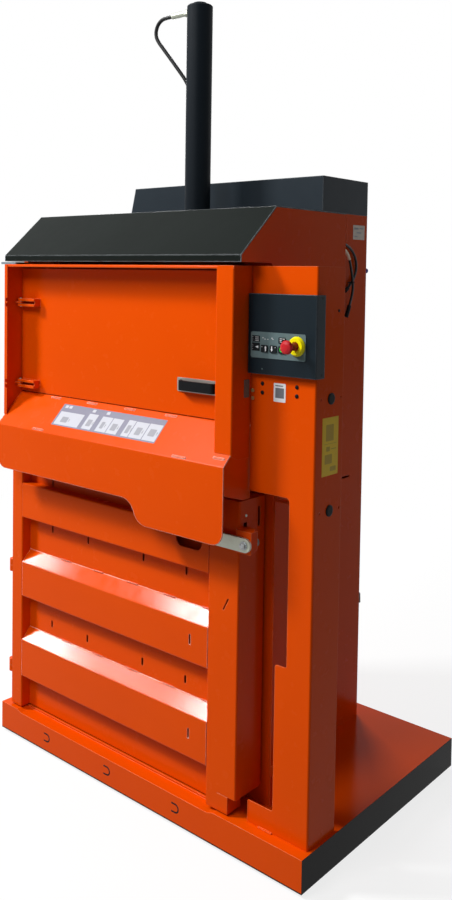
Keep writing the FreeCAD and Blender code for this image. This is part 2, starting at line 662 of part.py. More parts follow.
def shelf_cheeks():
    """End plates under the shelf and the two gussets that tie it to the panel."""
    under = beside(shelf_path(), 3.0)
    slope = (under[1][1] - under[2][1]) / (under[1][0] - under[2][0])

    def below_slope(y):
        return under[1][1] + slope * (y - under[1][0])

    front = under[2][0]
    end = [(front, 985, 14), (stile_y, 985), (stile_y, below_slope(stile_y)), (front, under[2][1], 4)]
    left = slab(end, "yz", portal_left + 3, portal_left + 6)
    deep = [(front, 985, 14), (stile_y, 962, 8), (44, 962, 4), (44, under[0][1]),
            (under[1][0], under[1][1], 4), (front, under[2][1], 4)]
    right = slab(deep, "yz", portal_right - 6, portal_right - 3)
    web = [(panel_y, 975), (panel_y, under[0][1]), (under[1][0], under[1][1], 4),
           (-52, below_slope(-52)), (-52, 1010), (10, 975)]
    gussets = [slab(web, "yz", x, x + 4) for x in (330.0, 720.0, 984.0)]
    return [left, right] + gussets


def loading_panel():
    """Recessed loading door: sheet with turned edges and its hinge ears."""
    x0, x1, t, rim = leaf_left, leaf_right, 2.5, 18.0
    pan = block(x0, x1, leaf_y, leaf_y + rim, leaf_bottom, leaf_top)
    pan = pan.cut(block(x0 + t, x1 - t, leaf_y + t, leaf_y + rim + 1, leaf_bottom + t, leaf_top - t))
    x, y = leaf_hinge
    ears = []
    for pair in lug_pairs:
        for z in pair:
            ear = slab([(x + 80, leaf_y + 0.5), (x - 9, leaf_y + 0.5), (x - 9, y - 9, 8),
                        (x + 80, y - 9, 2)], "xy", z - 4, z + 4)
            ears.append(ear.cut(bar((x, y, z - 6), (0, 0, 1), 4.2, 12)))
        ears.append(block(x + 77, x + 80, y - 5, leaf_y + 0.5, pair[1] - 2, pair[0] + 2))
    return joined([pan] + ears)


def loading_hinge_pins():
    x, y = leaf_hinge
    return [bar((x, y, low - 6), (0, 0, 1), 4.0, high - low + 12) for high, low in lug_pairs]


def handle_plate():
    return slab([(778, 1225, 4), (947, 1225, 4), (947, 1264, 4), (778, 1264, 4)], "xz",
                leaf_y - 3, leaf_y)


def door_handle():
    """Moulded U-shaped pull on the plate; its ends lean in."""
    x0, x1, z0, z1, stand, lean = 789.0, 936.0, 1231.0, 1258.0, 21.0, 12.0
    face, past = leaf_y - 3, 4.0
    out = lean * past / stand
    path = [(x0 - out, face + past), (x0 + lean, face - stand), (x1 - lean, face - stand),
            (x1 + out, face + past)]
    pull = folded(path, 6.0, "xy", z0, z1, 5.0)
    return pull.cut(block(x0 - 20, x1 + 20, face, face + 20, z0 - 1, z1 + 1))


# ---- latch ---------------------------------------------------------------------------------
def latch_bracket():
    """Folded bracket on the door's side: front plate, top flange and weld flange."""
    x0, x1 = right_stile[1], 1070.0
    front = slab([(x0, 825), (x1, 825, 6), (x1, 885, 3), (x0, 885)], "xz", 2, 6)
    top = slab([(x0, 2), (x1, 2), (x1, 10), (1052, 42, 4), (x0, 42)], "xy", 881, 885)
    web = block(x0, x0 + 4, 6, 28, 825, 885)
    outer = slab([(2, 829, 3), (28, 836, 5), (28, 885), (2, 885)], "yz", x1 - 4, x1)
    bracket = joined([front, top, web, outer])
    return bracket.cut(bar((latch_x, 0, latch_z), (0, 1, 0), 6.3, 12))


def latch_bar():
    """Flat bar: round end over the pivot, grip end over the hollow in the top rib."""
    left, right, half = 800.0, 1071.0, 18.5
    edge = [(left, latch_z - half, 10), (right, latch_z - half, 18), (right, latch_z + half, 18),
            (left, latch_z + half, 10)]
    flat = slab(edge, "xz", -6, 1.6)
    return flat.cut(bar((latch_x, -8, latch_z), (0, 1, 0), 6, 12))


def latch_bolt():
    """Hexagon bolt that is the latch's shaft, domed head outside."""
    head = turned([(0, 12.4), (3, 12), (6, 10.6), (8, 8), (8, 3), (0, 3)],
                  (latch_x, -6, latch_z), "-y")
    washer = bar((latch_x, -8, latch_z), (0, 1, 0), 11.5, 2)
    shank = bar((latch_x, -8, latch_z), (0, 1, 0), 6, 55)
    return joined([hexagon((latch_x, latch_z), 9.2, -15, -8), washer, shank, head])


def latch_hook():
    """Hook on the shaft: reaches through the stile's slot, nose over the keeper."""
    edge = [(latch_x + 12, latch_z - 12, 11), (latch_x + 12, latch_z + 12, 11),
            (982, latch_z + 12, 6), (982, latch_z - 12, 3), (1004, latch_z - 12, 0)]
    hook = slab(edge, "xz", 34, 44)
    return hook.cut(bar((latch_x, 30, latch_z), (0, 1, 0), 6, 20))


def latch_keeper():
    """Fixed bar from the right post with an upright lip at its front end."""
    z_lip = latch_z - 12 - 2
    side = [(22, 796, 3), (front_frame_y, 796), (front_frame_y, 826), (32, 826), (32, z_lip, 2),
            (22, z_lip, 2)]
    return slab(side, "yz", 985, 1001)


# ---- control column ------------------------------------------------------------------------
def column():
    """One tall folded sheet: front face with the long cut-out, side face with its holes."""
    path = [(column_x0, column_y), (column_x1, column_y), (column_x1, column_back)]
    sheet = folded(path, column_sheet, "xy", deck_top, column_top, 2.0)
    gap = [(1020, 985.5), (1165, 985.5, 12), (1165, 547, 6), (1128, 547, 6), (1128, 157, 8),
           (1044, 157, 3), (1044, 96), (1020, 96)]
    sheet = sheet.cut(slab(gap, "xz", column_y - 2, column_y + 6))
    sheet = joined([sheet, block(1083, 1128, column_y - 5, column_y + 1, deck_top, deck_top + 3)])
    for z in bolt_heights:
        sheet = sheet.cut(bar((bolt_x, column_y - 2, z), (0, 1, 0), 2.7, 8))
    for y, z in ((102.0, 1242.0), (102.5, 956.0)):
        sheet = sheet.cut(bar((column_x1 - 8, y, z), (1, 0, 0), 13.2, 12))
        for side in (-44, 44):
            sheet = sheet.cut(bar((column_x1 - 8, y + side, z), (1, 0, 0), 3.5, 12))
    return sheet


def column_plugs():
    plugs = []
    for y, z in ((102.0, 1242.0), (102.5, 956.0)):
        head = Part.makeCylinder(14.8, 2.0, Vector(column_x1, y, z), Vector(1, 0, 0))
        dome = Part.makeCone(14.8, 11, 1.6, Vector(column_x1 + 2, y, z), Vector(1, 0, 0))
        plugs.append(joined([head, dome, bar((column_x1 - 6, y, z), (1, 0, 0), 13.0, 7)]))
    return plugs


def column_braces():
    """Horizontal plates that tie the column to the right side plate."""
    braces = []
    for z in (180.0, 940.0, 1530.0):
        path = [(column_x1 - column_sheet, z + 30), (column_x1 - column_sheet, z),
                (cheek_right, z), (cheek_right, z + 30)]
        braces.append(folded(path, -4.0, "xz", front_frame_y + 2, column_back - 2))
    return braces


def control_box():
    """Folded cover on the column's front, wrapped round its right-hand edge."""
    t = 2.5
    outer = [(box_x[0], column_y), (box_x[0], box_y, 3), (box_x[1], box_y, 3),
             (box_x[1], box_back), (column_x1, box_back), (column_x1, column_y)]
    solid = slab(outer, "xy", box_z[0], box_z[1])
    hollow = block(box_x[0] + t, box_x[1] - t, box_y + t, box_back + 1, box_z[0] + t, box_z[1] - t)
    return panel_holes(solid.cut(hollow))


def keypad_plate():
    plate = slab([(1045, 1339, 5), (1219, 1339, 5), (1219, 1406, 5), (1045, 1406, 5)], "xz",
                 keypad_y, box_y)
    return panel_holes(plate)


def panel_holes(panel):
    """Holes for the stop button's stem and for the four key stems."""
    panel = panel.cut(bar((stop_x, keypad_y - 2, stop_z), (0, 1, 0), 10.5, 9))
    for x, z in key_centres:
        panel = panel.cut(bar((x, keypad_y - 2, z), (0, 1, 0), 3.0, 9))
    return panel


def key_cap(centre, height):
    """Raised key with rounded corners, on a stem that goes through the keypad plate."""
    (x, z), half, tall = centre, 10.5, height / 2
    cap = slab([(x - half, z - tall, 2), (x + half, z - tall, 2), (x + half, z + tall, 2),
                (x - half, z + tall, 2)], "xz", keypad_y - 3.2, keypad_y - 1.4)
    return joined([cap, bar((x, keypad_y - 1.4, z), (0, 1, 0), 2.7, 9)])


def stop_collar():
    profile = [(10.2, 0), (25, 0), (25, 3), (21, 9.5), (13, 9.5), (10.2, 7)]
    return turned(profile, (stop_x, keypad_y, stop_z), "-y")


def stop_stem():
    return bar((stop_x, stop_back - 2.5, stop_z), (0, 1, 0), 9.4, 26 - stop_back + 2.5)


def stop_button():
    """Mushroom head with a scalloped grip rim."""
    profile = [(0, 0), (11, 0), (15.5, 3), (17.5, 6), (17.5, 10), (15, 14), (9, 16.2), (0, 17)]
    head = turned(profile, (stop_x, stop_back, stop_z), "-y")
    for i in range(3):
        angle = math.radians(120 * i + 30)
        across, up = 22.5 * math.cos(angle), 22.5 * math.sin(angle)
        head = head.cut(bar((stop_x + across, stop_back - 23, stop_z + up), (0, 1, 0), 7, 30))
    return head.cut(bar((stop_x, stop_back - 2.5, stop_z), (0, 1, 0), 9.6, 36))


def interlock_bolts():
    return [joined([hexagon((bolt_x, z), 5.2, column_y - 4, column_y),
                    bar((bolt_x, column_y - 4, z), (0, 1, 0), 2.6, 14)]) for z in bolt_heights]


def column_screws():
    screws = []
    for x, z in ((1072, 1271), (1072, 1247.5), (1182, 1271), (1182, 1248)):
        profile = [(0, 0), (5.5, 0), (5.0, 1.6), (3.2, 2.8), (0, 3.2)]
        screws.append(turned(profile, (x, column_y, z), "-y"))
    return screws


# ---- rear fittings and cables ----------------------------------------------------------------
grommet_y = cheek_back
cable_a_exit = (962.0, grommet_y + 7, 1664.0)
cable_b_exit = (972.0, grommet_y + 7, 1648.0)
cable_a_route = [cable_a_exit, (962, 488, 1664), (958, 528, 1663), (951, 568, 1659),
                 (947, 606, 1651), (947, 640, 1635), (947, 663, 1608), (947, 668, 1577),
                 (947, 656, 1549), (947, 637, 1528), (948, 616, 1514)]
cable_b_route = [cable_b_exit, (972, 484, 1648), (970, 518, 1645.5), (966, 552, 1640),
                 (962, 584, 1629), (960, 606, 1606), (959, 618, 1577), (958, 628, 1546),
                 (958, 633, 1515), (956, 629, 1486), (954, 620, 1460)]


def cable_grommet():
    lip = slab([(953, 1637, 9), (981, 1637, 9), (981, 1675, 9), (953, 1675, 9)], "xz",
               cheek_back, cheek_back + 4)
    boss = slab([(955, 1639, 7.5), (979, 1639, 7.5), (979, 1673, 7.5), (955, 1673, 7.5)], "xz",
                cheek_back + 4, cheek_back + 7)
    return joined([lip, boss])


def signal_plug():
    end = Vector(*cable_b_route[-1])
    way = (end - Vector(*cable_b_route[-2])).normalize()
    return Part.makeCylinder(6.5, 38, end, way)


def sensor_plug():
    end = Vector(*cable_a_route[-1])
    way = (end - Vector(*cable_a_route[-2])).normalize()
    return Part.makeCylinder(6.0, 16, end, way)


def rear_hook():
    """Small flat hook on the back wall, by the right edge."""
    edge = [(chamber_back, 513, 0), (chamber_back, 480, 0), (chamber_back + 26, 480, 6),
            (chamber_back + 32, 459, 3), (chamber_back + 38, 459, 3), (chamber_back + 36, 492, 8)]
    return slab(edge, "yz", 918, 922)


# ---- build -----------------------------------------------------------------------------------
def build():
    save("base_deck", base_deck())
    save("base_rails", *base_rails())
    save("chamber_floor", chamber_floor())
    save("chamber_left_wall", chamber_side(chamber_left, chamber_left + wall))
    save("chamber_right_wall", chamber_right_wall())
    save("chamber_back_wall", chamber_back_wall())
    save("front_posts", front_post(cheek_left + cheek_sheet, chamber_left),
         front_post(chamber_right, cheek_right - cheek_sheet))
    save("side_plate_left", side_plate(cheek_left, cheek_left + cheek_sheet, chamber_left))
    save("side_plate_right", side_plate(cheek_right - cheek_sheet, cheek_right, chamber_right))
    save("hood", hood())
    save("rear_cover", rear_cover())
    save("press_head", press_head())
    save("cylinder_tube", cylinder_tube())
    save("cylinder_gland", cylinder_gland())
    save("piston_rod", piston_rod())
    save("platen", platen())
    save("power_unit_tray", power_unit_tray())
    save("oil_tank", oil_tank())
    save("pump_motor", pump_motor())
    save("valve_block", valve_block())
    save("hose_fittings", hose_fitting(), hose_socket())
    save("pressure_hose", cord_tube("pressure_hose", hose_route, hose_diameter))
    save("door_panel", door_panel())
    save("door_left_stile", door_left_stile())
    save("door_right_stile", door_right_stile())
    save("door_rib_top", door_rib_top())
    save("door_rib_middle", sloped_rib(476.0, 590.0, 847.0, 541.0))
    save("door_rib_bottom", sloped_rib(206.0, 328.0, 846.0, 275.0))
    save("hinge_leaves", top_hinge_bracket(), *hinge_leaves())
    save("hinge_pins", *hinge_pins())
    save("top_hinge_plate", top_hinge_plate())
    save("portal_frame", portal_frame())
    save("work_shelf", work_shelf())
    save("shelf_cheeks", *shelf_cheeks())
    save("loading_panel", loading_panel())
    save("loading_hinge_pins", *loading_hinge_pins())
    save("handle_plate", handle_plate())
    save("door_handle", door_handle())
    save("latch_bracket", latch_bracket())
    save("latch_bar", latch_bar())
    save("latch_bolt", latch_bolt())
    save("latch_hook", latch_hook())
    save("latch_keeper", latch_keeper())
    save("column", column())
    save("column_braces", *column_braces())
    save("column_plugs", *(column_plugs() + column_screws()))
    save("interlock_bolts", *interlock_bolts())
    save("control_box", control_box())
    save("keypad_plate", keypad_plate())
    for name, centre, height in zip(("up_key", "down_key", "start_key", "reset_key"),
                                    key_centres, (18.5, 18.5, 18.5, 16.0)):
        save(name, key_cap(centre, height))
    save("stop_collar", stop_collar())
    save("stop_stem", stop_stem())
    save("stop_button", stop_button())
    save("cable_grommet", cable_grommet())
    cable_a = cord_tube("service cable a", cable_a_route, cable_diameter)
    cable_b = cord_tube("service cable b", cable_b_route, cable_diameter)
    save("service_cables", cable_a, cable_b)
    save("cable_plugs", sensor_plug(), signal_plug())
    save("rear_hook", rear_hook())
    side = chamber_right_wall()
    print("least gap: between the cables %.2f, cable a to the wall %.2f, cable b to the wall %.2f"
          % (cable_a.distToShape(cable_b)[0], cable_a.distToShape(side)[0],
             cable_b.distToShape(side)[0]))


build()
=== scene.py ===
import math
import bmesh
import bpy
import numpy as np
from mathutils import Matrix, Vector


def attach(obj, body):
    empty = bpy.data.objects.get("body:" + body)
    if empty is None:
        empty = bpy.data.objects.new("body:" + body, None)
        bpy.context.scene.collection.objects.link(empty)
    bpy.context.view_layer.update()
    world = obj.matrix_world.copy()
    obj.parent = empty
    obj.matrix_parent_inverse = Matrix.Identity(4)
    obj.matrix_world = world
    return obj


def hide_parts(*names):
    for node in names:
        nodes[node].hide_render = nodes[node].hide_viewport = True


# Looks for a vertical recycling baler: powder-coated sheet steel, a black ram, a control
# box with a membrane keypad, a hydraulic hose and two service cables.

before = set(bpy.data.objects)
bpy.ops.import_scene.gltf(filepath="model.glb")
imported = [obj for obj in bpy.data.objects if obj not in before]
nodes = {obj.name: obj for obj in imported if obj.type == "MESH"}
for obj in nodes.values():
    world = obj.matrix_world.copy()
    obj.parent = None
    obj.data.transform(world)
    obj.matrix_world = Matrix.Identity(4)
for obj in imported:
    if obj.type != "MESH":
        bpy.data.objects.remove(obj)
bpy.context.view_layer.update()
deckMiddle = np.array([625.0, 403.0, 0.0])       # millimetres from the deck's front left corner


def metres(points):
    # the drawing's millimetres to the frame's metres: the deck's middle is taken off first
    return (np.asarray(points, float) - deckMiddle) / 1000.0


# the photograph's viewing angle
camera = {
    "place": (1.8893, -2.1951, 1.5490), "yaw": 40.683, "pitch": 2.414, "roll": 0.864,
    "lens": 36.07, "shiftDown": 0.1517, "sensor": 36.0, "clip": (0.05, 60.0),
}


def buildCamera(settings):
    # turned about the vertical, tipped down from level, then rolled about its own axis
    data = bpy.data.cameras.new("camera")
    data.sensor_width = settings["sensor"]
    data.lens = settings["lens"]
    data.shift_y = -settings["shiftDown"]
    data.clip_start, data.clip_end = settings["clip"]
    holder = bpy.data.objects.new("camera", data)
    bpy.context.scene.collection.objects.link(holder)
    turn = (Matrix.Rotation(math.radians(settings["yaw"]), 4, "Z")
            @ Matrix.Rotation(math.radians(90.0 - settings["pitch"]), 4, "X")
            @ Matrix.Rotation(math.radians(settings["roll"]), 4, "Z"))
    holder.matrix_world = Matrix.Translation(settings["place"]) @ turn
    bpy.context.scene.camera = holder


buildCamera(camera)
bpy.context.scene.view_settings.view_transform = "Standard"
print("stage: camera")


def linear(hexColour):
    # sRGB hex to linear: each channel through the sRGB curve
    levels = [int(hexColour[i:i + 2], 16) / 255.0 for i in (1, 3, 5)]
    curve = [v / 12.92 if v <= 0.04045 else ((v + 0.055) / 1.055) ** 2.4 for v in levels]
    return (*curve, 1.0)


def addNode(tree, kind, values=None, links=None, **settings):
    # one node with its settings, its socket values and the links that feed it
    node = tree.nodes.new(kind)
    for key, value in settings.items():
        setattr(node, key, value)
    for key, value in (values or {}).items():
        node.inputs[key].default_value = value
    for key, (source, output) in (links or {}).items():
        tree.links.new(source.outputs[output], node.inputs[key])
    return node


def newMaterial(name, **values):
    # a material of one shader, with what is the same all over set on its own sockets
    made = bpy.data.materials.new(name)
    made.use_nodes = True
    tree = made.node_tree
    tree.nodes.clear()
    shader = addNode(tree, "ShaderNodeBsdfPrincipled", values)
    addNode(tree, "ShaderNodeOutputMaterial", links={"Surface": (shader, "BSDF")})
    return made, tree, shader


def dress(material, *names):
    # a carried-over CAD node keeps its mesh and takes one finish
    for name in names:
        piece = nodes[name]
        piece.data.materials.clear()
        piece.data.materials.append(material)
        piece.data.polygons.foreach_set(
            "material_index", np.zeros(len(piece.data.polygons), np.int32))


def powderCoat(name, look):
    # polyester powder coat on folded steel: a deep, even colour under a soft gloss, broken by
    # a fine orange peel; along the edges a pale colour is painted in as a highlight line
    made, tree, shader = newMaterial(name, **{
        "Metallic": 0.0, "IOR": 1.5, "Specular IOR Level": look["specular"]})
    place = addNode(tree, "ShaderNodeTexCoord")
    # the coat's thickness drifts over about 320 mm, a spray gun's sweep
    drift = addNode(tree, "ShaderNodeTexNoise", {"Scale": 3.1, "Detail": 3.0, "Roughness": 0.55},
                    {"Vector": (place, "Object")})
    # handling marks and dull patches, about 40 mm across
    film = addNode(tree, "ShaderNodeTexNoise", {"Scale": 24.0, "Detail": 5.0, "Roughness": 0.6},
                   {"Vector": (place, "Object")})
    shade = addNode(tree, "ShaderNodeMix", {"A": linear(look["low"]), "B": linear(look["high"])},
                    {"Factor": (drift, "Fac")}, data_type="RGBA")
    # edges: where the rounded normal leaves the flat one, a pale colour is mixed in as a painted
    # highlight line
    rounded = addNode(tree, "ShaderNodeBevel", {"Radius": look["edge"]}, samples=4)
    flat = addNode(tree, "ShaderNodeNewGeometry")
    agree = addNode(tree, "ShaderNodeVectorMath", {}, {0: (rounded, "Normal"), 1: (flat, "Normal")},
                    operation="DOT_PRODUCT")
    edgeHighlightShare = addNode(tree, "ShaderNodeMapRange",
                   {"From Min": 0.995, "From Max": look["fullAt"], "To Min": 0.0,
                    "To Max": look["edgeHighlight"]},
                   {"Value": (agree, "Value")})
    brokenEdgeHighlight = addNode(tree, "ShaderNodeMath", {}, {0: (edgeHighlightShare, "Result"), 1: (film, "Fac")},
                     operation="MULTIPLY")
    colour = addNode(tree, "ShaderNodeMix", {"B": linear(look["edgeHighlightColour"])},
                     {"A": (shade, "Result"), "Factor": (brokenEdgeHighlight, "Value")}, data_type="RGBA")
    if "blackFaceAndShadowStrip" in look:
        # black on the right-hand face, and a low black strip all round that is painted shadow of
        # the gap under the deck
        split = addNode(tree, "ShaderNodeSeparateXYZ", {}, {"Vector": (place, "Object")})
        right = addNode(tree, "ShaderNodeMath", {1: look["blackFaceAndShadowStrip"]["right"]}, {0: (split, "X")},
                        operation="GREATER_THAN")
        low = addNode(tree, "ShaderNodeMath", {1: look["blackFaceAndShadowStrip"]["low"]}, {0: (split, "Z")},
                      operation="LESS_THAN")
        blackFaceOrShadowStrip = addNode(tree, "ShaderNodeMath", {}, {0: (right, "Value"), 1: (low, "Value")},
                         operation="MAXIMUM")
        colour = addNode(tree, "ShaderNodeMix", {"B": linear(look["blackFaceAndShadowStrip"]["colour"])},
                         {"A": (colour, "Result"), "Factor": (blackFaceOrShadowStrip, "Value")}, data_type="RGBA")
    tree.links.new(colour.outputs["Result"], shader.inputs["Base Color"])
    gloss = addNode(tree, "ShaderNodeMapRange",
                    {"From Min": 0.3, "From Max": 0.7, "To Min": look["roughness"] - 0.03,
                     "To Max": look["roughness"] + 0.05}, {"Value": (film, "Fac")})
    tree.links.new(gloss.outputs["Result"], shader.inputs["Roughness"])
    # orange peel is about 2 mm from crest to crest; drawn at 4 mm so that it shows at all
    peel = addNode(tree, "ShaderNodeTexNoise", {"Scale": 250.0, "Detail": 2.0, "Roughness": 0.5},
                   {"Vector": (place, "Object")})
    # sheet of 3 mm lies wavy over some 140 mm, which bends the reflections a little
    waves = addNode(tree, "ShaderNodeTexNoise", {"Scale": 7.0, "Detail": 1.0},
                    {"Vector": (place, "Object")})
    wavy = addNode(tree, "ShaderNodeBump", {"Strength": look["waves"], "Distance": 0.012},
                   {"Height": (waves, "Fac"), "Normal": (rounded, "Normal")})
    bump = addNode(tree, "ShaderNodeBump", {"Strength": look["peel"], "Distance": 0.0006},
                   {"Height": (peel, "Fac"), "Normal": (wavy, "Normal")})
    tree.links.new(bump.outputs["Normal"], shader.inputs["Normal"])
    return made


def plainFilm(name, look):
    # moulded plastic, rubber or printed film: one flat colour whose grain breaks the gloss, so
    # that highlights are soft and never mirror-sharp
    made, tree, shader = newMaterial(name, **{
        "Metallic": 0.0, "IOR": 1.5, "Specular IOR Level": look.get("specular", 0.2)})
    place = addNode(tree, "ShaderNodeTexCoord")
    # a moulding's grain is 0.1 to 0.3 mm; it is drawn at 0.8 to 3.3 mm, since finer isn't seen
    grain = addNode(tree, "ShaderNodeTexNoise",
                    {"Scale": look["grain"], "Detail": 3.0, "Roughness": 0.6},
                    {"Vector": (place, "Object")})
    drift = addNode(tree, "ShaderNodeTexNoise", {"Scale": look["grain"] / 12.0, "Detail": 2.0},
                    {"Vector": (place, "Object")})
    shade = addNode(tree, "ShaderNodeMix", {"A": linear(look["low"]), "B": linear(look["high"])},
                    {"Factor": (drift, "Fac")}, data_type="RGBA")
    tree.links.new(shade.outputs["Result"], shader.inputs["Base Color"])
    gloss = addNode(tree, "ShaderNodeMapRange",
                    {"From Min": 0.3, "From Max": 0.7, "To Min": look["roughness"] - 0.05,
                     "To Max": look["roughness"] + 0.08}, {"Value": (grain, "Fac")})
    tree.links.new(gloss.outputs["Result"], shader.inputs["Roughness"])
    bump = addNode(tree, "ShaderNodeBump", {"Strength": look["bump"], "Distance": 0.0004},
                   {"Height": (grain, "Fac")})
    tree.links.new(bump.outputs["Normal"], shader.inputs["Normal"])
    return made


def platedSteel(name, look):
    # plated or machined steel: it mirrors its surroundings dimly, clouded by the passivation
    # and drawn out along the rolling or turning marks
    made, tree, shader = newMaterial(name, **{"Metallic": look["metallic"]})
    place = addNode(tree, "ShaderNodeTexCoord")
    # clouds of the bath, about 22 mm across
    cloud = addNode(tree, "ShaderNodeTexNoise", {"Scale": 45.0, "Detail": 4.0, "Roughness": 0.6},
                    {"Vector": (place, "Object")})
    drawn = addNode(tree, "ShaderNodeMapping", {"Scale": look["stretch"]},
                    {"Vector": (place, "Object")})
    # rolling marks lie 0.3 mm apart; they are drawn at 3 mm, the finest that shows
    lines = addNode(tree, "ShaderNodeTexNoise", {"Scale": 320.0, "Detail": 3.0, "Roughness": 0.7},
                    {"Vector": (drawn, "Vector")})
    shade = addNode(tree, "ShaderNodeMix", {"A": linear(look["low"]), "B": linear(look["high"])},
                    {"Factor": (cloud, "Fac")}, data_type="RGBA")
    tree.links.new(shade.outputs["Result"], shader.inputs["Base Color"])
    gloss = addNode(tree, "ShaderNodeMapRange",
                    {"From Min": 0.3, "From Max": 0.7, "To Min": look["roughness"] - 0.07,
                     "To Max": look["roughness"] + 0.1}, {"Value": (lines, "Fac")})
    tree.links.new(gloss.outputs["Result"], shader.inputs["Roughness"])
    rounded = addNode(tree, "ShaderNodeBevel", {"Radius": 0.0008}, samples=4)
    bump = addNode(tree, "ShaderNodeBump", {"Strength": look["bump"], "Distance": 0.0003},
                   {"Height": (lines, "Fac"), "Normal": (rounded, "Normal")})
    tree.links.new(bump.outputs["Normal"], shader.inputs["Normal"])
    return made


# powder coats and enamels: the plain orange coat is satin, deep and even, with a pale painted
# highlight on its folds
orangeLook = {
    "low": "#D84700", "high": "#E04E00", "edgeHighlightColour": "#FFA878", "roughness": 0.24,
    "specular": 0.045, "edge": 0.0018, "edgeHighlight": 1.0, "fullAt": 0.92, "waves": 0.04, "peel": 0.08,
}
# the two lower ribs are sprayed wet and smooth: they mirror the lamps as white ends, and their
# folds take a near-white painted highlight
ribLook = dict(orangeLook, roughness=0.14, waves=0.012, edge=0.0026, edgeHighlightColour="#FFE0D0",
               edgeHighlight=1.7)
# the shelf's folds are rubbed by the material thrown over it
# the shelf's folds take a stronger, near-white painted highlight
shelfLook = dict(orangeLook, edge=0.0028, edgeHighlightColour="#FFEADC", edgeHighlight=1.7)
# the deck takes a gloss coat, with black on its right-hand face, and along the floor a black strip
# of painted shadow
deckLook = dict(orangeLook, roughness=0.16, specular=0.05, waves=0.02,
                blackFaceAndShadowStrip={"right": 0.6244, "low": 0.0125, "colour": "#0E0E0E"})
# graphite powder coat: near black, with a grey bloom on the slope and a pale painted highlight on
# its folds
hoodLook = {
    "low": "#131715", "high": "#191E1C", "edgeHighlightColour": "#D8E0E6", "roughness": 0.34,
    "specular": 0.03, "edge": 0.0036, "edgeHighlight": 1.5, "fullAt": 0.93, "waves": 0.04, "peel": 0.10,
}
# blue-black coat of the cover and the box, satin, so that they keep soft broad lights
coverLook = dict(hoodLook, low="#1B232A", high="#222B32", roughness=0.42, specular=0.11, edgeHighlight=0.4)
boxLook = dict(hoodLook, low="#0D181F", high="#131F26", roughness=0.40, specular=0.12, edgeHighlight=0.3)
# ram enamel: the blackest of all, one dull light down the tube
ramLook = dict(hoodLook, low="#0C1218", high="#11181E", roughness=0.50, specular=0.06, edgeHighlight=0.1)

orangePaint = powderCoat("orangePowderCoat", orangeLook)
ribPaint = powderCoat("orangeRibCoat", ribLook)
shelfPaint = powderCoat("orangeShelfCoat", shelfLook)
deckPaint = powderCoat("orangeDeckCoat", deckLook)
hoodPaint = powderCoat("graphiteHoodCoat", hoodLook)
coverPaint = powderCoat("blackCoverCoat", coverLook)
boxPaint = powderCoat("blackBoxCoat", boxLook)
ramPaint = powderCoat("blackRamEnamel", ramLook)

# metals
# grey-green passivated zinc on pins, rivet and fittings: a soft metal grey
zincPlate = platedSteel("passivatedZincPlate", {
    "low": "#9A9F90", "high": "#B4B8AA", "roughness": 0.42, "metallic": 0.75, "bump": 0.2,
    "stretch": (1.0, 1.0, 1.0)})
# blue passivated zinc on a thick plate: duller, with a cold tint
blueZinc = platedSteel("bluePassivatedZinc", {
    "low": "#6E7A84", "high": "#808C96", "roughness": 0.45, "metallic": 0.4, "bump": 0.15,
    "stretch": (1.0, 1.0, 1.0)})
# satin steel worn by hands round the pull: a warm, even grey
pullSteel = platedSteel("satinPullPlate", {
    "low": "#8C857E", "high": "#9C958E", "roughness": 0.45, "metallic": 0.6, "bump": 0.1,
    "stretch": (0.2, 1.0, 1.0)})
# galvanised steel gone dull: dark grey, hardly a light on it
dullSteel = platedSteel("dullGalvanisedSteel", {
    "low": "#5C5650", "high": "#6E6862", "roughness": 0.55, "metallic": 0.5, "bump": 0.2,
    "stretch": (1.0, 1.0, 1.0)})
# yellow passivated bolts: small brassy points
yellowZinc = platedSteel("yellowPassivatedZinc", {
    "low": "#A8905C", "high": "#BCA470", "roughness": 0.35, "metallic": 0.7, "bump": 0.1,
    "stretch": (1.0, 1.0, 1.0)})
# bright zinc bolt: a light grey head with one clear spark
brightZinc = platedSteel("brightZincBolt", {
    "low": "#A8AEB0", "high": "#B8BEC0", "roughness": 0.30, "metallic": 0.25, "bump": 0.1,
    "stretch": (1.0, 1.0, 1.0)})
# zinc-plated flat bar, rolled along its length: pale grey-green and even
barSteel = platedSteel("zincLatchBar", {
    "low": "#A9AE9F", "high": "#BFC3B5", "roughness": 0.48, "metallic": 0.55, "bump": 0.15,
    "stretch": (0.15, 1.0, 1.0)})
# hard chrome, ground and polished: a clear mirror drawn out along the rod
rodChrome = platedSteel("hardChromeRod", {
    "low": "#C4C6C8", "high": "#D2D4D6", "roughness": 0.16, "metallic": 1.0, "bump": 0.05,
    "stretch": (1.0, 1.0, 0.1)})
# milled steel under a film of oil: bright grey with upright streaks
machinedSteel = platedSteel("machinedSteel", {
    "low": "#8E9092", "high": "#A6A8AA", "roughness": 0.35, "metallic": 0.9, "bump": 0.1,
    "stretch": (1.0, 1.0, 0.2)})
# anodised foil under clear film: flat warm grey, nearly without reflections
foilPlate = platedSteel("brushedAluminiumFoil", {
    "low": "#A49A90", "high": "#B2A89E", "roughness": 0.45, "metallic": 0.15, "bump": 0.1,
    "stretch": (1.0, 0.2, 1.0)})

# plastics, rubber and printed films
# enamel over sand-cast iron: dark grey and pitted
castMotor = plainFilm("paintedCastIron", {
    "low": "#2C3134", "high": "#3A4043", "grain": 400.0, "roughness": 0.55, "bump": 0.5})
# cover rubber of a wire-braid hose: dusty black with a broad dull light
hoseRubber = plainFilm("hoseCoverRubber", {
    "low": "#0E0E0F", "high": "#17181A", "grain": 900.0, "roughness": 0.42, "bump": 0.35})
# cable sheath of soft PVC: black, a little shinier than the hose
cablePvc = plainFilm("blackCablePvc", {
    "low": "#101113", "high": "#1B1D20", "grain": 700.0, "roughness": 0.38, "bump": 0.15})
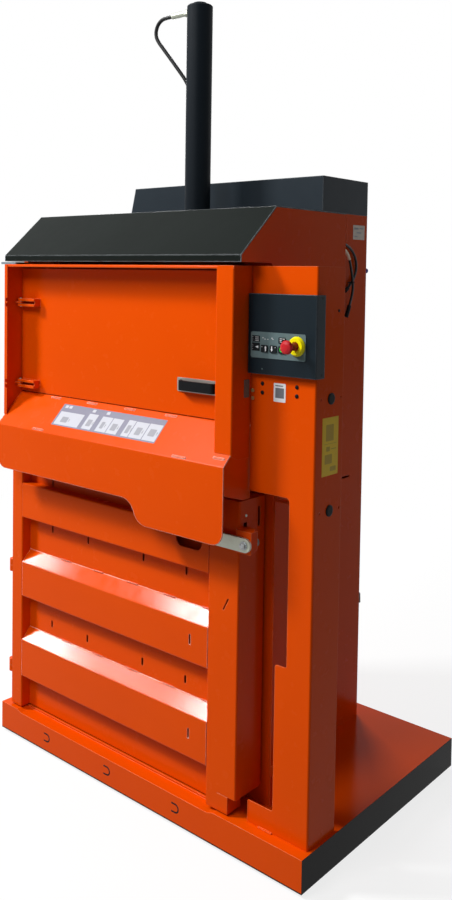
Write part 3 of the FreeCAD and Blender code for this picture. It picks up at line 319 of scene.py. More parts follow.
# glass-filled nylon of handle and plugs: matt black, spark-eroded grain
blackPlastic = plainFilm("mouldedBlackPlastic", {
    "low": "#0C0D0E", "high": "#141618", "grain": 1100.0, "roughness": 0.5, "bump": 0.45,
    "specular": 0.07})
# polyester membrane, textured: a flat grey-green
keypadFilm = plainFilm("greyKeypadFilm", {
    "low": "#586A6C", "high": "#647678", "grain": 1300.0, "roughness": 0.5, "bump": 0.25,
    "specular": 0.1})
# the same membrane printed black under each key
keyBlack = plainFilm("blackKeyFilm", {
    "low": "#101416", "high": "#171C1F", "grain": 1300.0, "roughness": 0.45, "bump": 0.2,
    "specular": 0.1})
# moulded collar of the stop button: clean signal yellow with a small gloss
yellowPlastic = plainFilm("yellowCollarPlastic", {
    "low": "#EEE000", "high": "#F8EC00", "grain": 600.0, "roughness": 0.3, "bump": 0.08})
# its mushroom head: clean signal red, as glossy as the collar
redPlastic = plainFilm("redMushroomPlastic", {
    "low": "#B81820", "high": "#C62028", "grain": 600.0, "roughness": 0.28, "bump": 0.08})
# the button's stem is the same plastic as the head, made a deeper red: painted shade under the
# mushroom head
shadedStemPlastic = plainFilm("shadedRedStemPlastic", {
    "low": "#8A141C", "high": "#981A22", "grain": 600.0, "roughness": 0.4, "bump": 0.1})
# brushed-on machine paint: mid grey, uneven
greyPaint = plainFilm("greyHookPaint", {
    "low": "#767A7E", "high": "#868A8E", "grain": 500.0, "roughness": 0.5, "bump": 0.15})
# printed vinyl: flat inks, slightly glossy, that keep their tone in any light
filmLook = {"grain": 300.0, "roughness": 0.35, "bump": 0.05}
# lavender ground of the shelf's sheet: a cool middle tone that the white fields stand out from
printBand = plainFilm("lavenderPrintedFilm", dict(filmLook, low="#707284", high="#7A7C8E"))
# label paper under clear film: the brightest white on the machine
labelWhite = plainFilm("whiteLabelPaper", dict(filmLook, low="#DCDDE0", high="#E6E7EA"))
# white ink on the sheet: cooler and a step down from the label's white
printWhite = plainFilm("whitePrintedFilm", dict(filmLook, low="#AEB3BC", high="#B8BDC6"))
# middle grey ink: soft blocks that stay behind the white round them
printGrey = plainFilm("greyPrintedFilm", dict(filmLook, low="#868A92", high="#90949C"))
# dark grey ink: a block that reads as print from a step away
printDark = plainFilm("darkGreyPrintedFilm", dict(filmLook, low="#66686E", high="#74767C"))
# warm yellow ground: the one bright sheet on the column's side
printYellow = plainFilm("yellowPrintedFilm", dict(filmLook, low="#E8C020", high="#F0CA28"))
# ochre ink on the yellow: a quiet second tone
printOchre = plainFilm("ochrePrintedFilm", dict(filmLook, low="#B09018", high="#BC9C20"))
# translucent green ink on the start key: the brightest spot of the keypad
printGreen = plainFilm("greenKeyFilm", {
    "low": "#2FB63C", "high": "#44C850", "grain": 600.0, "roughness": 0.35, "bump": 0.05})
# heat-shrink marker: nearly white, so that it stands out from the black cable
sleeveCream = plainFilm("creamSleevePvc", {
    "low": "#F4EAD0", "high": "#FCF6E4", "grain": 600.0, "roughness": 0.4, "bump": 0.1})
# polyethylene thread cap: saturated blue with a waxy light
capBlue = plainFilm("bluePlugPlastic", {
    "low": "#1C2C8A", "high": "#2436A0", "grain": 600.0, "roughness": 0.35, "bump": 0.08})

dress(deckPaint, "base_deck")
dress(castMotor, "base_rails", "pump_motor", "oil_tank", "power_unit_tray")
dress(orangePaint, "chamber_floor", "chamber_left_wall", "chamber_right_wall",
      "chamber_back_wall", "front_posts", "side_plate_left", "side_plate_right", "press_head",
      "platen", "door_panel", "door_left_stile", "door_right_stile", "door_rib_top",
      "hinge_leaves", "portal_frame", "shelf_cheeks", "loading_panel", "latch_bracket",
      "latch_keeper", "column", "column_braces")
dress(ribPaint, "door_rib_middle", "door_rib_bottom")
dress(shelfPaint, "work_shelf")
dress(hoodPaint, "hood")
dress(coverPaint, "rear_cover")
dress(boxPaint, "control_box")
dress(ramPaint, "cylinder_tube", "cylinder_gland")
dress(rodChrome, "piston_rod")
dress(machinedSteel, "valve_block")
dress(zincPlate, "hose_fittings", "hinge_pins", "loading_hinge_pins")
dress(blueZinc, "top_hinge_plate")
dress(pullSteel, "handle_plate")
dress(dullSteel, "latch_hook")
dress(brightZinc, "latch_bolt")
dress(yellowZinc, "interlock_bolts")
dress(barSteel, "latch_bar")
dress(blackPlastic, "door_handle", "column_plugs", "cable_grommet", "cable_plugs")
dress(keypadFilm, "keypad_plate")
dress(keyBlack, "up_key", "down_key", "start_key", "reset_key")
dress(yellowPlastic, "stop_collar")
dress(shadedStemPlastic, "stop_stem")
dress(redPlastic, "stop_button")
dress(greyPaint, "rear_hook")
print("stage: finishes")


# hose and cables: routes in the drawing's millimetres, as the CAD tubes have them
hose = {
    "diameter": 0.0125, "length": 0.667,
    "route": [(404, 371, 2400), (380, 371, 2400), (354.5, 371.5, 2398.8), (333.5, 372.5, 2386),
              (322, 374, 2363.5), (324.5, 376, 2338), (356, 382, 2299), (404, 392, 2238),
              (446, 405, 2180), (462, 420, 2112), (457, 439, 2044), (443, 462, 1985),
              (421, 487, 1940), (401, 510, 1903), (401, 510, 1868)],
}
cables = {
    "diameter": 0.008,
    "sensorCable": {
        "length": 0.341,
        "route": [(962, 453, 1664), (962, 488, 1664), (958, 528, 1663), (951, 568, 1659),
                  (947, 606, 1651), (947, 640, 1635), (947, 663, 1608), (947, 668, 1577),
                  (947, 656, 1549), (947, 637, 1528), (948, 616, 1514)]},
    "signalCable": {
        "length": 0.317,
        "route": [(972, 453, 1648), (972, 484, 1648), (970, 518, 1645.5), (966, 552, 1640),
                  (962, 584, 1629), (960, 606, 1606), (959, 618, 1577), (958, 628, 1546),
                  (958, 633, 1515), (956, 629, 1486), (954, 620, 1460)]},
}


def cordAlong(name, route, diameter, material):
    # a round cord on one smooth spline whose control points are the route's points
    data = bpy.data.curves.new(name, "CURVE")
    data.dimensions = "3D"
    data.bevel_depth = diameter / 2
    data.bevel_resolution = 5
    data.resolution_u = 8
    data.use_fill_caps = True
    spline = data.splines.new("NURBS")
    points = metres(route)
    spline.points.add(len(points) - 1)
    spline.points.foreach_set("co", np.c_[points, np.ones(len(points))].ravel())
    spline.order_u = 3
    spline.use_endpoint_u = True
    piece = bpy.data.objects.new(name, data)
    bpy.context.scene.collection.objects.link(piece)
    data.materials.append(material)
    return piece


hosePiece = cordAlong("pressureHose", hose["route"], hose["diameter"], hoseRubber)
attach(hosePiece, "machine")
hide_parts("pressure_hose")
for name in ("sensorCable", "signalCable"):
    cable = cables[name]
    piece = cordAlong(name, cable["route"], cables["diameter"], cablePvc)
    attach(piece, "machine")
    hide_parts("service_cables")
print("stage: hose and cables")


def centreLine(route):
    # points of the route's own spline, read from a curve that has no bevel
    holder = cordAlong("centreLine", route, 0.0, cablePvc)
    holder.data.resolution_u = 12
    mesh = bpy.data.meshes.new_from_object(holder)
    found = np.empty(len(mesh.vertices) * 3)
    mesh.vertices.foreach_get("co", found)
    data = holder.data
    bpy.data.objects.remove(holder)
    bpy.data.curves.remove(data)
    bpy.data.meshes.remove(mesh)
    return found.reshape(-1, 3)


def roundedOutline(left, right, low, high, radius):
    # a quarter circle about each corner's centre, the four joined by straight runs
    turn = np.linspace(0.0, math.pi / 2, 5)
    centres = ((right - radius, high - radius), (left + radius, high - radius),
               (left + radius, low + radius), (right - radius, low + radius))
    return np.vstack([np.c_[u + radius * np.cos(turn + i * math.pi / 2),
                            v + radius * np.sin(turn + i * math.pi / 2)]
                      for i, (u, v) in enumerate(centres)])


def spots(centres, wide, high, radius):
    # a small rounded field about each centre, given by its half width and half height
    return [roundedOutline(u - wide, u + wide, v - high, v + high, radius) for u, v in centres]


def arrowOutline(u, v, length, width, way):
    # a shaft with a triangular head, turned over where it points down
    shape = np.array([(0.22, -0.5), (0.22, 0.08), (0.5, 0.08), (0.0, 0.5), (-0.5, 0.08),
                      (-0.22, 0.08), (-0.22, -0.5)]) * (width, length)
    return (shape if way > 0 else -shape) + (u, v)


def prism(outline, low, high):
    # the outline at two heights, closed by one face at each end and a wall between
    count = len(outline)
    lower = np.c_[outline, np.full(count, low)]
    upper = np.c_[outline, np.full(count, high)]
    here = np.arange(count)
    after = (here + 1) % count
    walls = np.stack([here, after, after + count, here + count], -1).tolist()
    return np.vstack([lower, upper]), walls + [here[::-1].tolist(), (here + count).tolist()]


def gridQuads(rows, columns, joined=False):
    # a face between each point, the one beside it and the two in the row above; every row
    # closes on itself, and where they are joined the last row meets the first
    row, column = np.meshgrid(np.arange(rows if joined else rows - 1), np.arange(columns),
                              indexing="ij")
    above, beside = (row + 1) % rows, (column + 1) % columns
    return np.stack([row * columns + column, row * columns + beside, above * columns + beside,
                     above * columns + column], -1).reshape(-1, 4)


def turnedForm(profile):
    # each (radius, height) of the profile carried round the third axis
    profile = np.asarray(profile, float)
    steps = 24
    turn = np.linspace(0.0, 2 * math.pi, steps, endpoint=False)
    grid = np.stack([profile[:, :1] * np.cos(turn), profile[:, :1] * np.sin(turn),
                     np.repeat(profile[:, 1:], steps, 1)], -1).reshape(-1, 3)
    return grid, gridQuads(len(profile), steps).tolist()


def sweptForm(path, section, closed=False, level=(1.0, 0.0, 0.0)):
    # the section stands across the path, its first axis as near to the level as it can be
    path, section, level = (np.asarray(values, float) for values in (path, section, level))
    if closed:
        ahead = np.roll(path, -1, 0) - np.roll(path, 1, 0)
    else:
        ahead = np.gradient(path, axis=0)
    ahead /= np.linalg.norm(ahead, axis=1, keepdims=True)
    side = level - (ahead @ level)[:, None] * ahead
    side /= np.linalg.norm(side, axis=1, keepdims=True)
    up = np.cross(ahead, side)
    grid = path[:, None] + side[:, None] * section[None, :, :1] + up[:, None] * section[None, :, 1:]
    along, across = len(path), len(section)
    faces = gridQuads(along, across, closed).tolist()
    if not closed:
        faces += [np.arange(across)[::-1].tolist(),
                  (np.arange(across) + (along - 1) * across).tolist()]
    return grid.reshape(-1, 3), faces


# the two directions that span a face, along it and up it, named for the way it looks
frontward = ((1, 0, 0), (0, 0, 1))
rightward = ((0, 1, 0), (0, 0, 1))
backward = ((-1, 0, 0), (0, 0, 1))
shelfward = ((1, 0, 0), (0, 93, 98))             # the shelf climbs 98 mm over 93 mm of depth


def onFace(points, origin, spanned):
    # points (u, v, w) on a face: u along it, v up it, w out of it, all from the origin
    along, up = (np.asarray(way, float) / np.linalg.norm(way) for way in spanned)
    axes = np.stack([along, up, np.cross(along, up)])
    return metres(np.asarray(origin, float) + np.asarray(points) @ axes)


def flatForms(outlines, rise, face, number=0):
    # each outline made solid between the two heights of its rise over the face
    solids = [prism(outline, *rise) for outline in outlines]
    return [(onFace(points, *face), faces, number) for points, faces in solids]


mergeWithin = 0.000002                           # metres: points that close are one point


def newPiece(name, body, forms, materials, smooth=False):
    # forms are (points in metres, faces, material number); together they are one mesh
    corners, faces, which, start = [], [], [], 0
    for points, formFaces, number in forms:
        corners.append(points)
        faces += [[start + k for k in face] for face in formFaces]
        which += [number] * len(formFaces)
        start += len(points)
    mesh = bpy.data.meshes.new(name)
    mesh.from_pydata(np.vstack(corners).tolist(), [], faces)
    mesh.polygons.foreach_set("material_index", np.array(which, np.int32))
    mesh.polygons.foreach_set("use_smooth", np.full(len(faces), smooth))
    for material in materials:
        mesh.materials.append(material)
    shape = bmesh.new()
    shape.from_mesh(mesh)
    bmesh.ops.remove_doubles(shape, verts=shape.verts, dist=mergeWithin)
    bmesh.ops.recalc_face_normals(shape, faces=shape.faces)
    shape.to_mesh(mesh)
    shape.free()
    piece = bpy.data.objects.new(name, mesh)
    bpy.context.scene.collection.objects.link(piece)
    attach(piece, body)
    return piece


# millimetres: a plate's back stays clear of its wall, and its print sits in and over the plate
printDepth = {"clear": 0.05, "sunk": 0.02, "proud": 0.06}


def printedPlate(name, settings):
    # a rounded rectangle of its thickness, with smaller ones for the print on its face
    face, thick = settings["face"], settings["thick"]
    width, height = settings["size"]
    plate = roundedOutline(0, width, 0, height, settings["corner"])
    fields = [roundedOutline(*field) for field in settings["fields"]]
    forms = flatForms([plate], (printDepth["clear"], thick), face)
    forms += flatForms(fields, (thick - printDepth["sunk"], thick + printDepth["proud"]), face, 1)
    newPiece(name, settings["body"], forms, settings["finish"])


# the sheet on the shelf: a band with seven plain white fields and four marks over them, each
# (left, right, low, high, corner radius), and the plain shapes in the fields
shelfSheet = {
    "body": "bale_door", "slot": "keypad_grey", "finish": [printBand, printWhite],
    "face": ((306.0, -44.0, 1082.2), shelfward), "size": (450, 80), "corner": 1.0, "thick": 0.35,
    "fields": [(8, 118, 4, 52, 0.5), (136, 176, 5, 60, 0.5), (197, 242, 5, 58, 0.5),
               (245, 289, 5, 58, 0.5), (309, 338, 5, 61, 0.5), (341, 393, 5, 60, 0.5),
               (396, 447, 5, 61, 0.5), (12, 26, 66, 76, 1.5), (30, 44, 66, 76, 1.5),
               (140, 154, 66, 76, 1.5), (203, 217, 66, 76, 1.5)],
    "blocks": [(30, 60, 14, 34), (146, 166, 16, 40), (208, 222, 16, 40), (254, 276, 16, 40),
               (316, 331, 16, 44), (356, 378, 16, 42), (408, 434, 20, 44)],
    "blockCorner": 2.5, "blockRise": (0.40, 0.46), "arrow": {"beside": 6, "size": (12, 7)},
}


def pictureShapes(settings):
    # in each field a grey block with an arrow on its right, pointing up and down by turns
    arrow, outlines = settings["arrow"], []
    for index, (left, right, low, high) in enumerate(settings["blocks"]):
        outlines += [roundedOutline(left, right, low, high, settings["blockCorner"]),
                     arrowOutline(right + arrow["beside"], (low + high) / 2, *arrow["size"],
                                  -1 if index % 2 else 1)]
    forms = flatForms(outlines, settings["blockRise"], settings["face"])
    newPiece("pictureShapes", "bale_door", forms, [printGrey])


printedPlate("pictureSheet", shelfSheet)
pictureShapes(shelfSheet)

# labels and plates: plain fields only, each (left, right, low, high, corner radius)
plates = {
    "columnNotice": {
        "body": "machine", "slot": "yellow_plastic", "finish": [printYellow, printOchre],
        "face": ((1240.5, 66.0, 1047.0), rightward), "size": (71, 148), "corner": 1.0,
        "thick": 0.4,
        "fields": [(16, 50, 88, 130, 2.0), (8, 64, 80.5, 81.5, 0.2), (18, 34, 62, 74, 2.0),
                   (38, 62, 66, 68, 0.4), (12, 44, 30, 54, 2.0), (36, 62, 10, 22, 2.0)]},
    "columnLabel": {
        "body": "machine", "slot": "keypad_grey", "finish": [labelWhite, printDark],
        "face": ((1109.0, 35.3, 1228.0), frontward), "size": (38, 48), "corner": 2.5,
        "thick": 0.35, "fields": [(5, 33, 10, 36, 1.0), (5, 30, 40, 43, 0.6)]},
    "wallPlate": {
        "body": "machine", "slot": "valve_steel", "finish": [foilPlate, printGrey],
        "face": ((940.0, 654.0, 1670.0), rightward), "size": (67, 46), "corner": 1.5,
        "thick": 0.6,
        "fields": [(6, 30, 32, 38, 0.5), (38, 60, 34, 38, 0.5), (20, 48, 20, 24, 0.5),
                   (8, 26, 8, 12, 0.5)]},
    "jambPlate": {
        "body": "bale_door", "slot": "zinc", "finish": [dullSteel],
        "face": ((1032.0, 8.0, 1232.0), rightward), "size": (21, 47), "corner": 2.0,
        "thick": 1.2, "fields": []},
}
for name, settings in plates.items():
    printedPlate(name, settings)
print("stage: labels and plates")

# keypad print: two dark windows with dots, bars and a pointer, and small marks beside them
keyFront = 14.3                                  # how far back the keys' faces lie
keypad = {
    "face": ((0.0, 17.5, 0.0), frontward), "keyFace": ((0.0, keyFront, 0.0), frontward),
    "windows": [(1049.0, 1075.0, 1379.6, 1396.0, 1.5), (1049.0, 1075.0, 1356.5, 1377.5, 1.5)],
    "dots": [(1051.6, z) for z in (1392.5, 1388.0, 1383.5, 1372.5, 1367.5, 1361.5)],
    "dotSize": (0.9, 0.7, 0.6),
    "bars": [(1060, 1071, z, z + 1.1, 0.4) for z in (1391.5, 1386.5, 1382.5)],
    "pointer": [(1060.0, 1367.0), (1070.0, 1363.5), (1070.0, 1370.5)],
    "marks": [(1085.0, 1391.0), (1092.0, 1388.0), (1101.0, 1388.0), (1114.0, 1391.5),
              (1117.0, 1388.5)],
    "markSize": (1.6, 1.0, 0.8),
    "rises": {"window": (0.05, 0.35), "white": (0.30, 0.45), "mark": (0.05, 0.2),
              "sign": (0.03, 0.3)},
}


def keypadPrint(settings):
    # dark windows on the film, white print standing on the windows, white marks on the film
    face, rises = settings["face"], settings["rises"]
    windows = [roundedOutline(*edge) for edge in settings["windows"]]
    white = spots(settings["dots"], *settings["dotSize"])
    white += [roundedOutline(*bar) for bar in settings["bars"]]
    white.append(np.array(settings["pointer"]))
    forms = flatForms(windows, rises["window"], face)
    forms += flatForms(white, rises["white"], face, 1)
    forms += flatForms(spots(settings["marks"], *settings["markSize"]), rises["mark"], face, 1)
    newPiece("keypadPrint", "machine", forms, [keyBlack, labelWhite])


keypadPrint(keypad)

# signs on the keys: an arrow and a dot on each travel key, four bars on the reset key
keySigns = {
    "upSign": ("up_key", [arrowOutline(1096.0, 1364.3, 14.0, 7.0, 1),
                          roundedOutline(1083.5, 1085.5, 1367.5, 1369.5, 0.9)]),
    "downSign": ("down_key", [arrowOutline(1116.0, 1364.3, 14.0, 7.0, -1),
                              roundedOutline(1126.0, 1128.0, 1367.5, 1369.5, 0.9)]),
    "resetSign": ("reset_key", [roundedOutline(1141.0 + a, 1148.0 + a, z, z + 1.4, 0.5)
                                for a, z in ((0, 1391), (0, 1387), (0, 1383), (9, 1391))]),
}
for name, (body, outlines) in keySigns.items():
    forms = flatForms(outlines, keypad["rises"]["sign"], keypad["keyFace"])
    newPiece(name, body, forms, [labelWhite])

# the start key's ring: a turned rim, drawn out to an upright oval
startRing = {
    "profile": [(3.0, 0.05), (5.6, 0.05), (5.6, 0.35), (5.0, 0.5), (3.6, 0.5), (3.0, 0.35),
                (3.0, 0.05)],
    "stretch": (0.9, 1.25, 1.0), "centre": (1146.0, keyFront, 1364.3),
}
points, faces = turnedForm(startRing["profile"])
rim = onFace(points * startRing["stretch"], startRing["centre"], frontward)
newPiece("startSign", "start_key", [(rim, faces, 0)], [printGreen], smooth=True)
print("stage: keypad")

# painted shade in the U-shaped slits of the deck's front skirt: each is a dark strip that stands a
# tenth of a millimetre out of the sheet
slitShadows = {"places": (240.0, 527.0, 812.0), "height": 53.5, "radius": 11.75, "length": 14.2,
         "turnAt": 1.0, "half": 2.3, "rise": (-3.0, 0.12)}


def slitShadeStrips(settings):
    # a bar, a half circle and a bar, drawn out by half the slit's width to either side
    turn = np.linspace(math.pi / 2, -math.pi / 2, 14)
    height, outlines = settings["height"], []
    for x in settings["places"]:
        start, centre = x - settings["length"], x + settings["turnAt"]
        rims = []
        for side in (1, -1):
            radius = settings["radius"] + side * settings["half"]
            arc = np.c_[centre + radius * np.cos(turn), height + radius * np.sin(turn)]
            rims.append(np.vstack([(start, height + radius), arc, (start, height - radius)]))
        outlines.append(np.vstack([rims[0], rims[1][::-1]]))
    forms = flatForms(outlines, settings["rise"], ((0, 0, 0), frontward))
    newPiece("slitShadeStrips", "machine", forms, [blackPlastic])


slitShadeStrips(slitShadows)

# painted strips under the hood close the gap over the door at its left end: the front one
# starts beside the swinging hinge plate, the rear one stands lower behind it
closing = {"right": 190.0, "high": 1604.0, "thick": 3.0, "corner": 1.0,
           "rows": [(60.0, 52.0, 1577.0), (8.0, 74.0, 1572.0)]}


def closingStrip(settings):
    # flat strips standing across the frame, one for each (left, front, low)
    right, high, thick, corner = (settings[key] for key in ("right", "high", "thick", "corner"))
    forms = []
    for left, front, low in settings["rows"]:
        forms += flatForms([roundedOutline(left, right, low, high, corner)], (0.0, thick),
                           ((0, front + thick, 0), frontward))
    newPiece("closingStrip", "machine", forms, [orangePaint])


closingStrip(closing)

# the narrow front flange of the portal's left leg, which catches the light from the front;
# it is cut back beside the loading door's hinge ears, so that they can swing past it
legFlange = {"left": 60.0, "right": 74.0, "low": 1088.0, "high": 1574.5, "back": -39.7,
             "thick": 1.5, "cutBack": 65.0, "ears": (1179.0, 1196.0, 1443.0, 1460.0),
             "earRoom": 6.0}


def portalEdge(settings):
    # a flat strip lying on the leg's front edge, its right side stepping in at each ear
    left, right, inner, room = (settings[key] for key in ("left", "right", "cutBack", "earRoom"))
    steps = [(x, z + side * room) for z in settings["ears"]
             for x, side in ((right, -1), (inner, -1), (inner, 1), (right, 1))]
    outline = np.array([(left, settings["low"]), (right, settings["low"]), *steps,
                        (right, settings["high"]), (left, settings["high"])])
    forms = flatForms([outline], (0.0, settings["thick"]), ((0, settings["back"], 0), frontward))
    newPiece("portalEdge", "bale_door", forms, [orangePaint])


portalEdge(legFlange)

# small turned pieces: (radius, height) profiles, closed at both ends on the axis
domedHead = [(0, 0.05), (4.4, 0.05), (4.4, 0.8), (3.6, 2.0), (1.9, 2.8), (0, 3.0)]
sunkHead = [(0, -0.6), (4.4, -0.6), (4.4, 0.02), (4.0, 0.1), (0, 0.1)]
plugCap = [(0, 0.1), (8.2, 0.1), (8.2, 14.0), (7.0, 16.0), (0, 16.4)]
# each has its body, slot, finish, profile and scale, and the centre and face of every one
smallHeads = {
    "boxScrews": ("machine", "box_black", blackPlastic, sunkHead, 0.8,
                  [((1250.5, 44.0, 1306.0), rightward), ((1250.5, 43.0, 1497.0), rightward)]),
    "columnSideScrew": ("machine", "black_plastic", blackPlastic, domedHead, 0.9,
                        [((1240.5, 129.5, 1464.0), rightward)]),
    "doorSideRivet": ("bale_door", "zinc", zincPlate, domedHead, 0.9,
                      [((1019.0, 41.5, 914.0), rightward)]),
    "boxFrontDot": ("machine", "keypad_grey", keypadFilm, domedHead, 0.4,
                    [((1082.4, 19.0, 1310.6), frontward)]),
    "backWallPlug": ("machine", "black_plastic", capBlue, plugCap, 1.0,
                     [((931.0, 737.0, 1571.0), backward)]),
}
for name, (body, slotName, material, profile, scale, places) in smallHeads.items():
    points, faces = turnedForm(np.array(profile) * scale)
    forms = [(onFace(points, centre, spanned), faces, 0) for centre, spanned in places]
    newPiece(name, body, forms, [material], smooth=True)

# the weld bead on the right wall
weld = {"from": (940.1, 616.0, 1650.0), "to": (940.1, 616.0, 1740.0), "width": 6.0,
        "flatness": 0.4, "drops": 30, "ripple": 0.10}


def wallWeld(settings):
    # an oval section carried up the wall; its radius rises and falls with each drop
    steps = 90
    share = np.linspace(0.0, 1.0, steps)[:, None]
    path = metres(np.array(settings["from"]) * (1 - share) + np.array(settings["to"]) * share)
    turn = np.linspace(0.0, 2 * math.pi, 10, endpoint=False)
    oval = np.c_[np.cos(turn) * settings["flatness"], np.sin(turn)]
    points, faces = sweptForm(path, oval * settings["width"] / 2000.0)
    middle = np.repeat(path, len(oval), 0)
    beat = np.sin(np.linspace(0.0, settings["drops"] * 2 * math.pi, steps))
    swell = np.repeat(1.0 + settings["ripple"] * beat, len(oval))[:, None]
    newPiece("wallWeld", "machine",
             [(middle + (points - middle) * swell, faces, 0)], [orangePaint], smooth=True)


wallWeld(weld)

# the cream sleeve on the signal cable, and the tie that holds the two cables together
sleeve = {"from": 1636.0, "to": 1604.0, "radius": 5.0, "softEnd": 0.0006}
tie = {"centre": (952.7, 632.0, 1533.0), "half": (10.6, 6.2), "boxiness": 0.7, "thick": 1.2,
       "width": 2.6, "lock": (-3.0, 3.0, -2.4, 2.4, 0.8), "lockRise": (0.0, 4.0),
       "tail": (-1.2, 1.2, -1.0, 1.0, 0.4), "tailRise": (3.5, 15.0)}


def cableSleeve(settings):
    # a round section along the cable's own spline, between two heights
    path = centreLine(cables["signalCable"]["route"])
    heights = path[:, 2] * 1000.0
    path = path[(heights < settings["from"]) & (heights > settings["to"])]
    turn = np.linspace(0.0, 2 * math.pi, 20, endpoint=False)
    section = np.c_[np.cos(turn), np.sin(turn)] * settings["radius"] / 1000.0
    points, faces = sweptForm(path, section)
    piece = newPiece("cableSleeve", "machine", [(points, faces, 0)], [sleeveCream],
                     smooth=True)
    bevel = piece.modifiers.new("softEnds", "BEVEL")
    bevel.width, bevel.segments, bevel.limit_method = settings["softEnd"], 2, "ANGLE"


def cableTie(settings):
    # a flat band on a squared ring round both cables, with its lock and a short tail
    steps = 40
    turn = np.linspace(0.0, 2 * math.pi, steps, endpoint=False)
    circle = np.c_[np.cos(turn), np.sin(turn)]
    ring = np.sign(circle) * np.abs(circle) ** settings["boxiness"] * settings["half"]
    path = metres(np.array(settings["centre"]) + np.c_[ring, np.zeros(steps)])
    thick, width = settings["thick"] / 2000.0, settings["width"] / 2000.0
    section = [(-width, -thick), (width, -thick), (width, thick), (-width, thick)]
    band = sweptForm(path, section, closed=True, level=(0.0, 0.0, 1.0))
    front = np.array(settings["centre"]) - (0.0, settings["half"][1], 0.0)
    forms = [(*band, 0)]
    for block in ("lock", "tail"):
        forms += flatForms([roundedOutline(*settings[block])], settings[block + "Rise"],
                           (front, frontward))
    newPiece("cableTie", "machine", forms, [blackPlastic])


cableSleeve(sleeve)
cableTie(tie)
print("stage: small pieces")


# lamps: a far key from the left, a soft front box, a back box; the glow boxes are linked to
# the sloped sheets alone, where they make the bright ends, and light nothing else
lamps = {
    "keyBox": {"place": (-5.0, -4.1, 6.6), "aim": (0.0, -0.38, 0.9), "size": (1.3, 1.3),
               "power": 730.0},
    "frontBox": {"place": (-0.30, -2.75, 3.35), "aim": (0.1, -0.38, 0.9), "size": (1.2, 1.2),
                 "power": 56.0},
    "backBox": {"place": (-3.0, 3.0, 3.2), "aim": (0.0, 0.3, 0.6), "size": (1.6, 1.6),
                "power": 125.0},
    "upperRibLeft": {"place": (-2.82, -1.43, 2.22), "aim": (-0.45, -0.38, 0.61),
                     "size": (0.34, 0.34), "power": 52.0, "sheet": "door_rib_middle"},
    "upperRibRight": {"place": (-1.58, -1.66, 2.57), "aim": (0.24, -0.38, 0.61),
                      "size": (0.32, 0.34), "power": 54.0, "sheet": "door_rib_middle"},
    "lowerRibLeft": {"place": (-2.68, -1.66, 1.92), "aim": (-0.38, -0.38, 0.35),
                     "size": (0.74, 0.34), "power": 165.0, "sheet": "door_rib_bottom"},
    "lowerRibRight": {"place": (-1.44, -1.92, 2.22), "aim": (0.28, -0.38, 0.35),
                      "size": (0.30, 0.34), "power": 98.0, "sheet": "door_rib_bottom"},
    "lowerRibMiddle": {"place": (-2.02, -1.80, 2.08), "aim": (-0.05, -0.38, 0.35),
                       "size": (0.9, 0.3), "power": 48.0, "sheet": "door_rib_bottom"},
    "shelfGlow": {"place": (-1.55, -1.12, 3.22), "aim": (0.38, -0.43, 1.09),
                  "size": (0.5, 0.3), "power": 6.0, "sheet": "work_shelf"},
}


def areaLight(name, settings):
    # a glowing rectangle whose face is turned from its place to its aim; one that is linked
    # to a sheet shows in that sheet's gloss only
    data = bpy.data.lights.new(name, "AREA")
    data.shape = "RECTANGLE"
    data.size, data.size_y = settings["size"]
    data.energy = settings["power"]
    lamp = bpy.data.objects.new(name, data)
    bpy.context.scene.collection.objects.link(lamp)
    lamp.location = settings["place"]
    if "sheet" in settings:
        lamp.visible_diffuse = False
        lit = bpy.data.collections.new(name + "Sheet")
        lit.objects.link(nodes[settings["sheet"]])
        lamp.light_linking.receiver_collection = lit
    gaze = Vector(settings["aim"]) - Vector(settings["place"])
    lamp.rotation_mode = "QUATERNION"
    lamp.rotation_quaternion = gaze.to_track_quat("-Z", "Y")


for name, settings in lamps.items():
    areaLight(name, settings)


def seenRays(tree):
    # one where a ray comes from the camera, a gloss or a glass, and nought elsewhere
    path = addNode(tree, "ShaderNodeLightPath")
    direct = addNode(tree, "ShaderNodeMath", {},
                     {0: (path, "Is Camera Ray"), 1: (path, "Is Glossy Ray")},
                     operation="MAXIMUM")
    return addNode(tree, "ShaderNodeMath", {},
                   {0: (direct, "Value"), 1: (path, "Is Transmission Ray")},
                   operation="MAXIMUM")


# the world lights softly from all round and is seen as pure white
plainWhite = (1.0, 1.0, 1.0, 1.0)
studio = {"soft": 0.14, "seen": 1.0}
world = bpy.data.worlds.new("studio")
bpy.context.scene.world = world
world.use_nodes = True
worldTree = world.node_tree
worldTree.nodes.clear()
soft, white = (addNode(worldTree, "ShaderNodeBackground",
                       {"Color": plainWhite, "Strength": studio[part]})
               for part in ("soft", "seen"))
both = addNode(worldTree, "ShaderNodeMixShader", {},
               {0: (seenRays(worldTree), "Value"), 1: (soft, "Background"),
                2: (white, "Background")})
addNode(worldTree, "ShaderNodeOutputWorld", links={"Surface": (both, "Shader")})

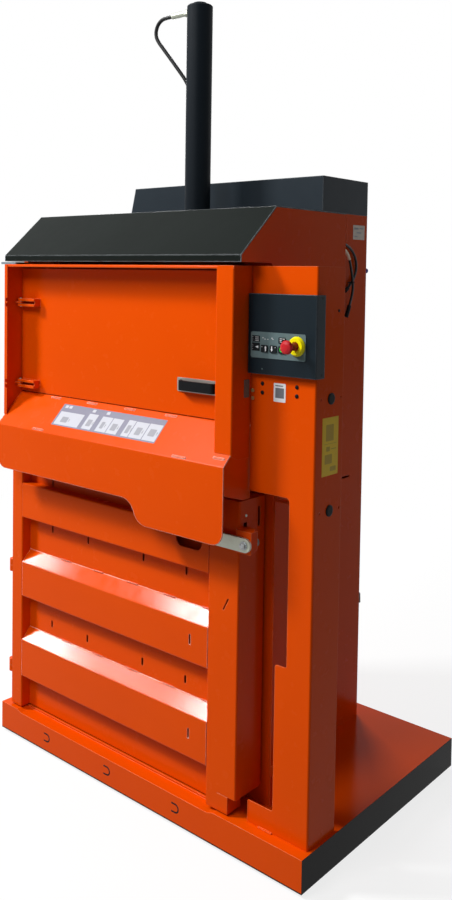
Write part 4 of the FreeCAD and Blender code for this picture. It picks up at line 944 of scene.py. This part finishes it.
floorLook = {"bounce": "#969696", "seen": "#F8F8F8", "glow": 0.80, "near": 1.6, "far": 3.6,
             "reach": 30.0, "drop": 0.0005}


def paleFloor(look):
    # rings of a disc, its rim far outside every view; it is seen pale and keeps the shadow
    rings, steps = 12, 96
    radius = np.linspace(0.0, 1.0, rings)[:, None] ** 2 * look["reach"]
    angle = np.linspace(0.0, 2 * math.pi, steps, endpoint=False)[None, :]
    grid = np.stack([radius * np.cos(angle), radius * np.sin(angle),
                     np.full((rings, steps), -look["drop"])], -1).reshape(-1, 3)
    mesh = bpy.data.meshes.new("floor")
    mesh.from_pydata(grid.tolist(), [], gridQuads(rings, steps)[:, ::-1].tolist())
    floor = bpy.data.objects.new("floor", mesh)
    bpy.context.scene.collection.objects.link(floor)
    made, tree, shader = newMaterial("paleStudioFloor", **{
        "Roughness": 0.9, "Specular IOR Level": 0.0})
    seen = seenRays(tree)
    colour = addNode(tree, "ShaderNodeMix",
                     {"A": linear(look["bounce"]), "B": linear(look["seen"])},
                     {"Factor": (seen, "Value")}, data_type="RGBA")
    tree.links.new(colour.outputs["Result"], shader.inputs["Base Color"])
    glow = addNode(tree, "ShaderNodeEmission", {"Color": plainWhite, "Strength": 1.0})
    # full white from a few metres out, so that no horizon shows; the shadow lies nearer
    place = addNode(tree, "ShaderNodeTexCoord")
    away = addNode(tree, "ShaderNodeVectorMath", {}, {0: (place, "Object")}, operation="LENGTH")
    reach = addNode(tree, "ShaderNodeMapRange",
                    {"From Min": look["near"], "From Max": look["far"], "To Min": look["glow"],
                     "To Max": 1.0},
                    {"Value": (away, "Value")}, interpolation_type="SMOOTHSTEP")
    share = addNode(tree, "ShaderNodeMath", {}, {0: (seen, "Value"), 1: (reach, "Result")},
                    operation="MULTIPLY")
    mixed = addNode(tree, "ShaderNodeMixShader", {},
                    {0: (share, "Value"), 1: (shader, "BSDF"), 2: (glow, "Emission")})
    output = next(node for node in tree.nodes if node.type == "OUTPUT_MATERIAL")
    tree.links.new(mixed.outputs["Shader"], output.inputs["Surface"])
    mesh.materials.append(made)


paleFloor(floorLook)
print("stage: light and floor")
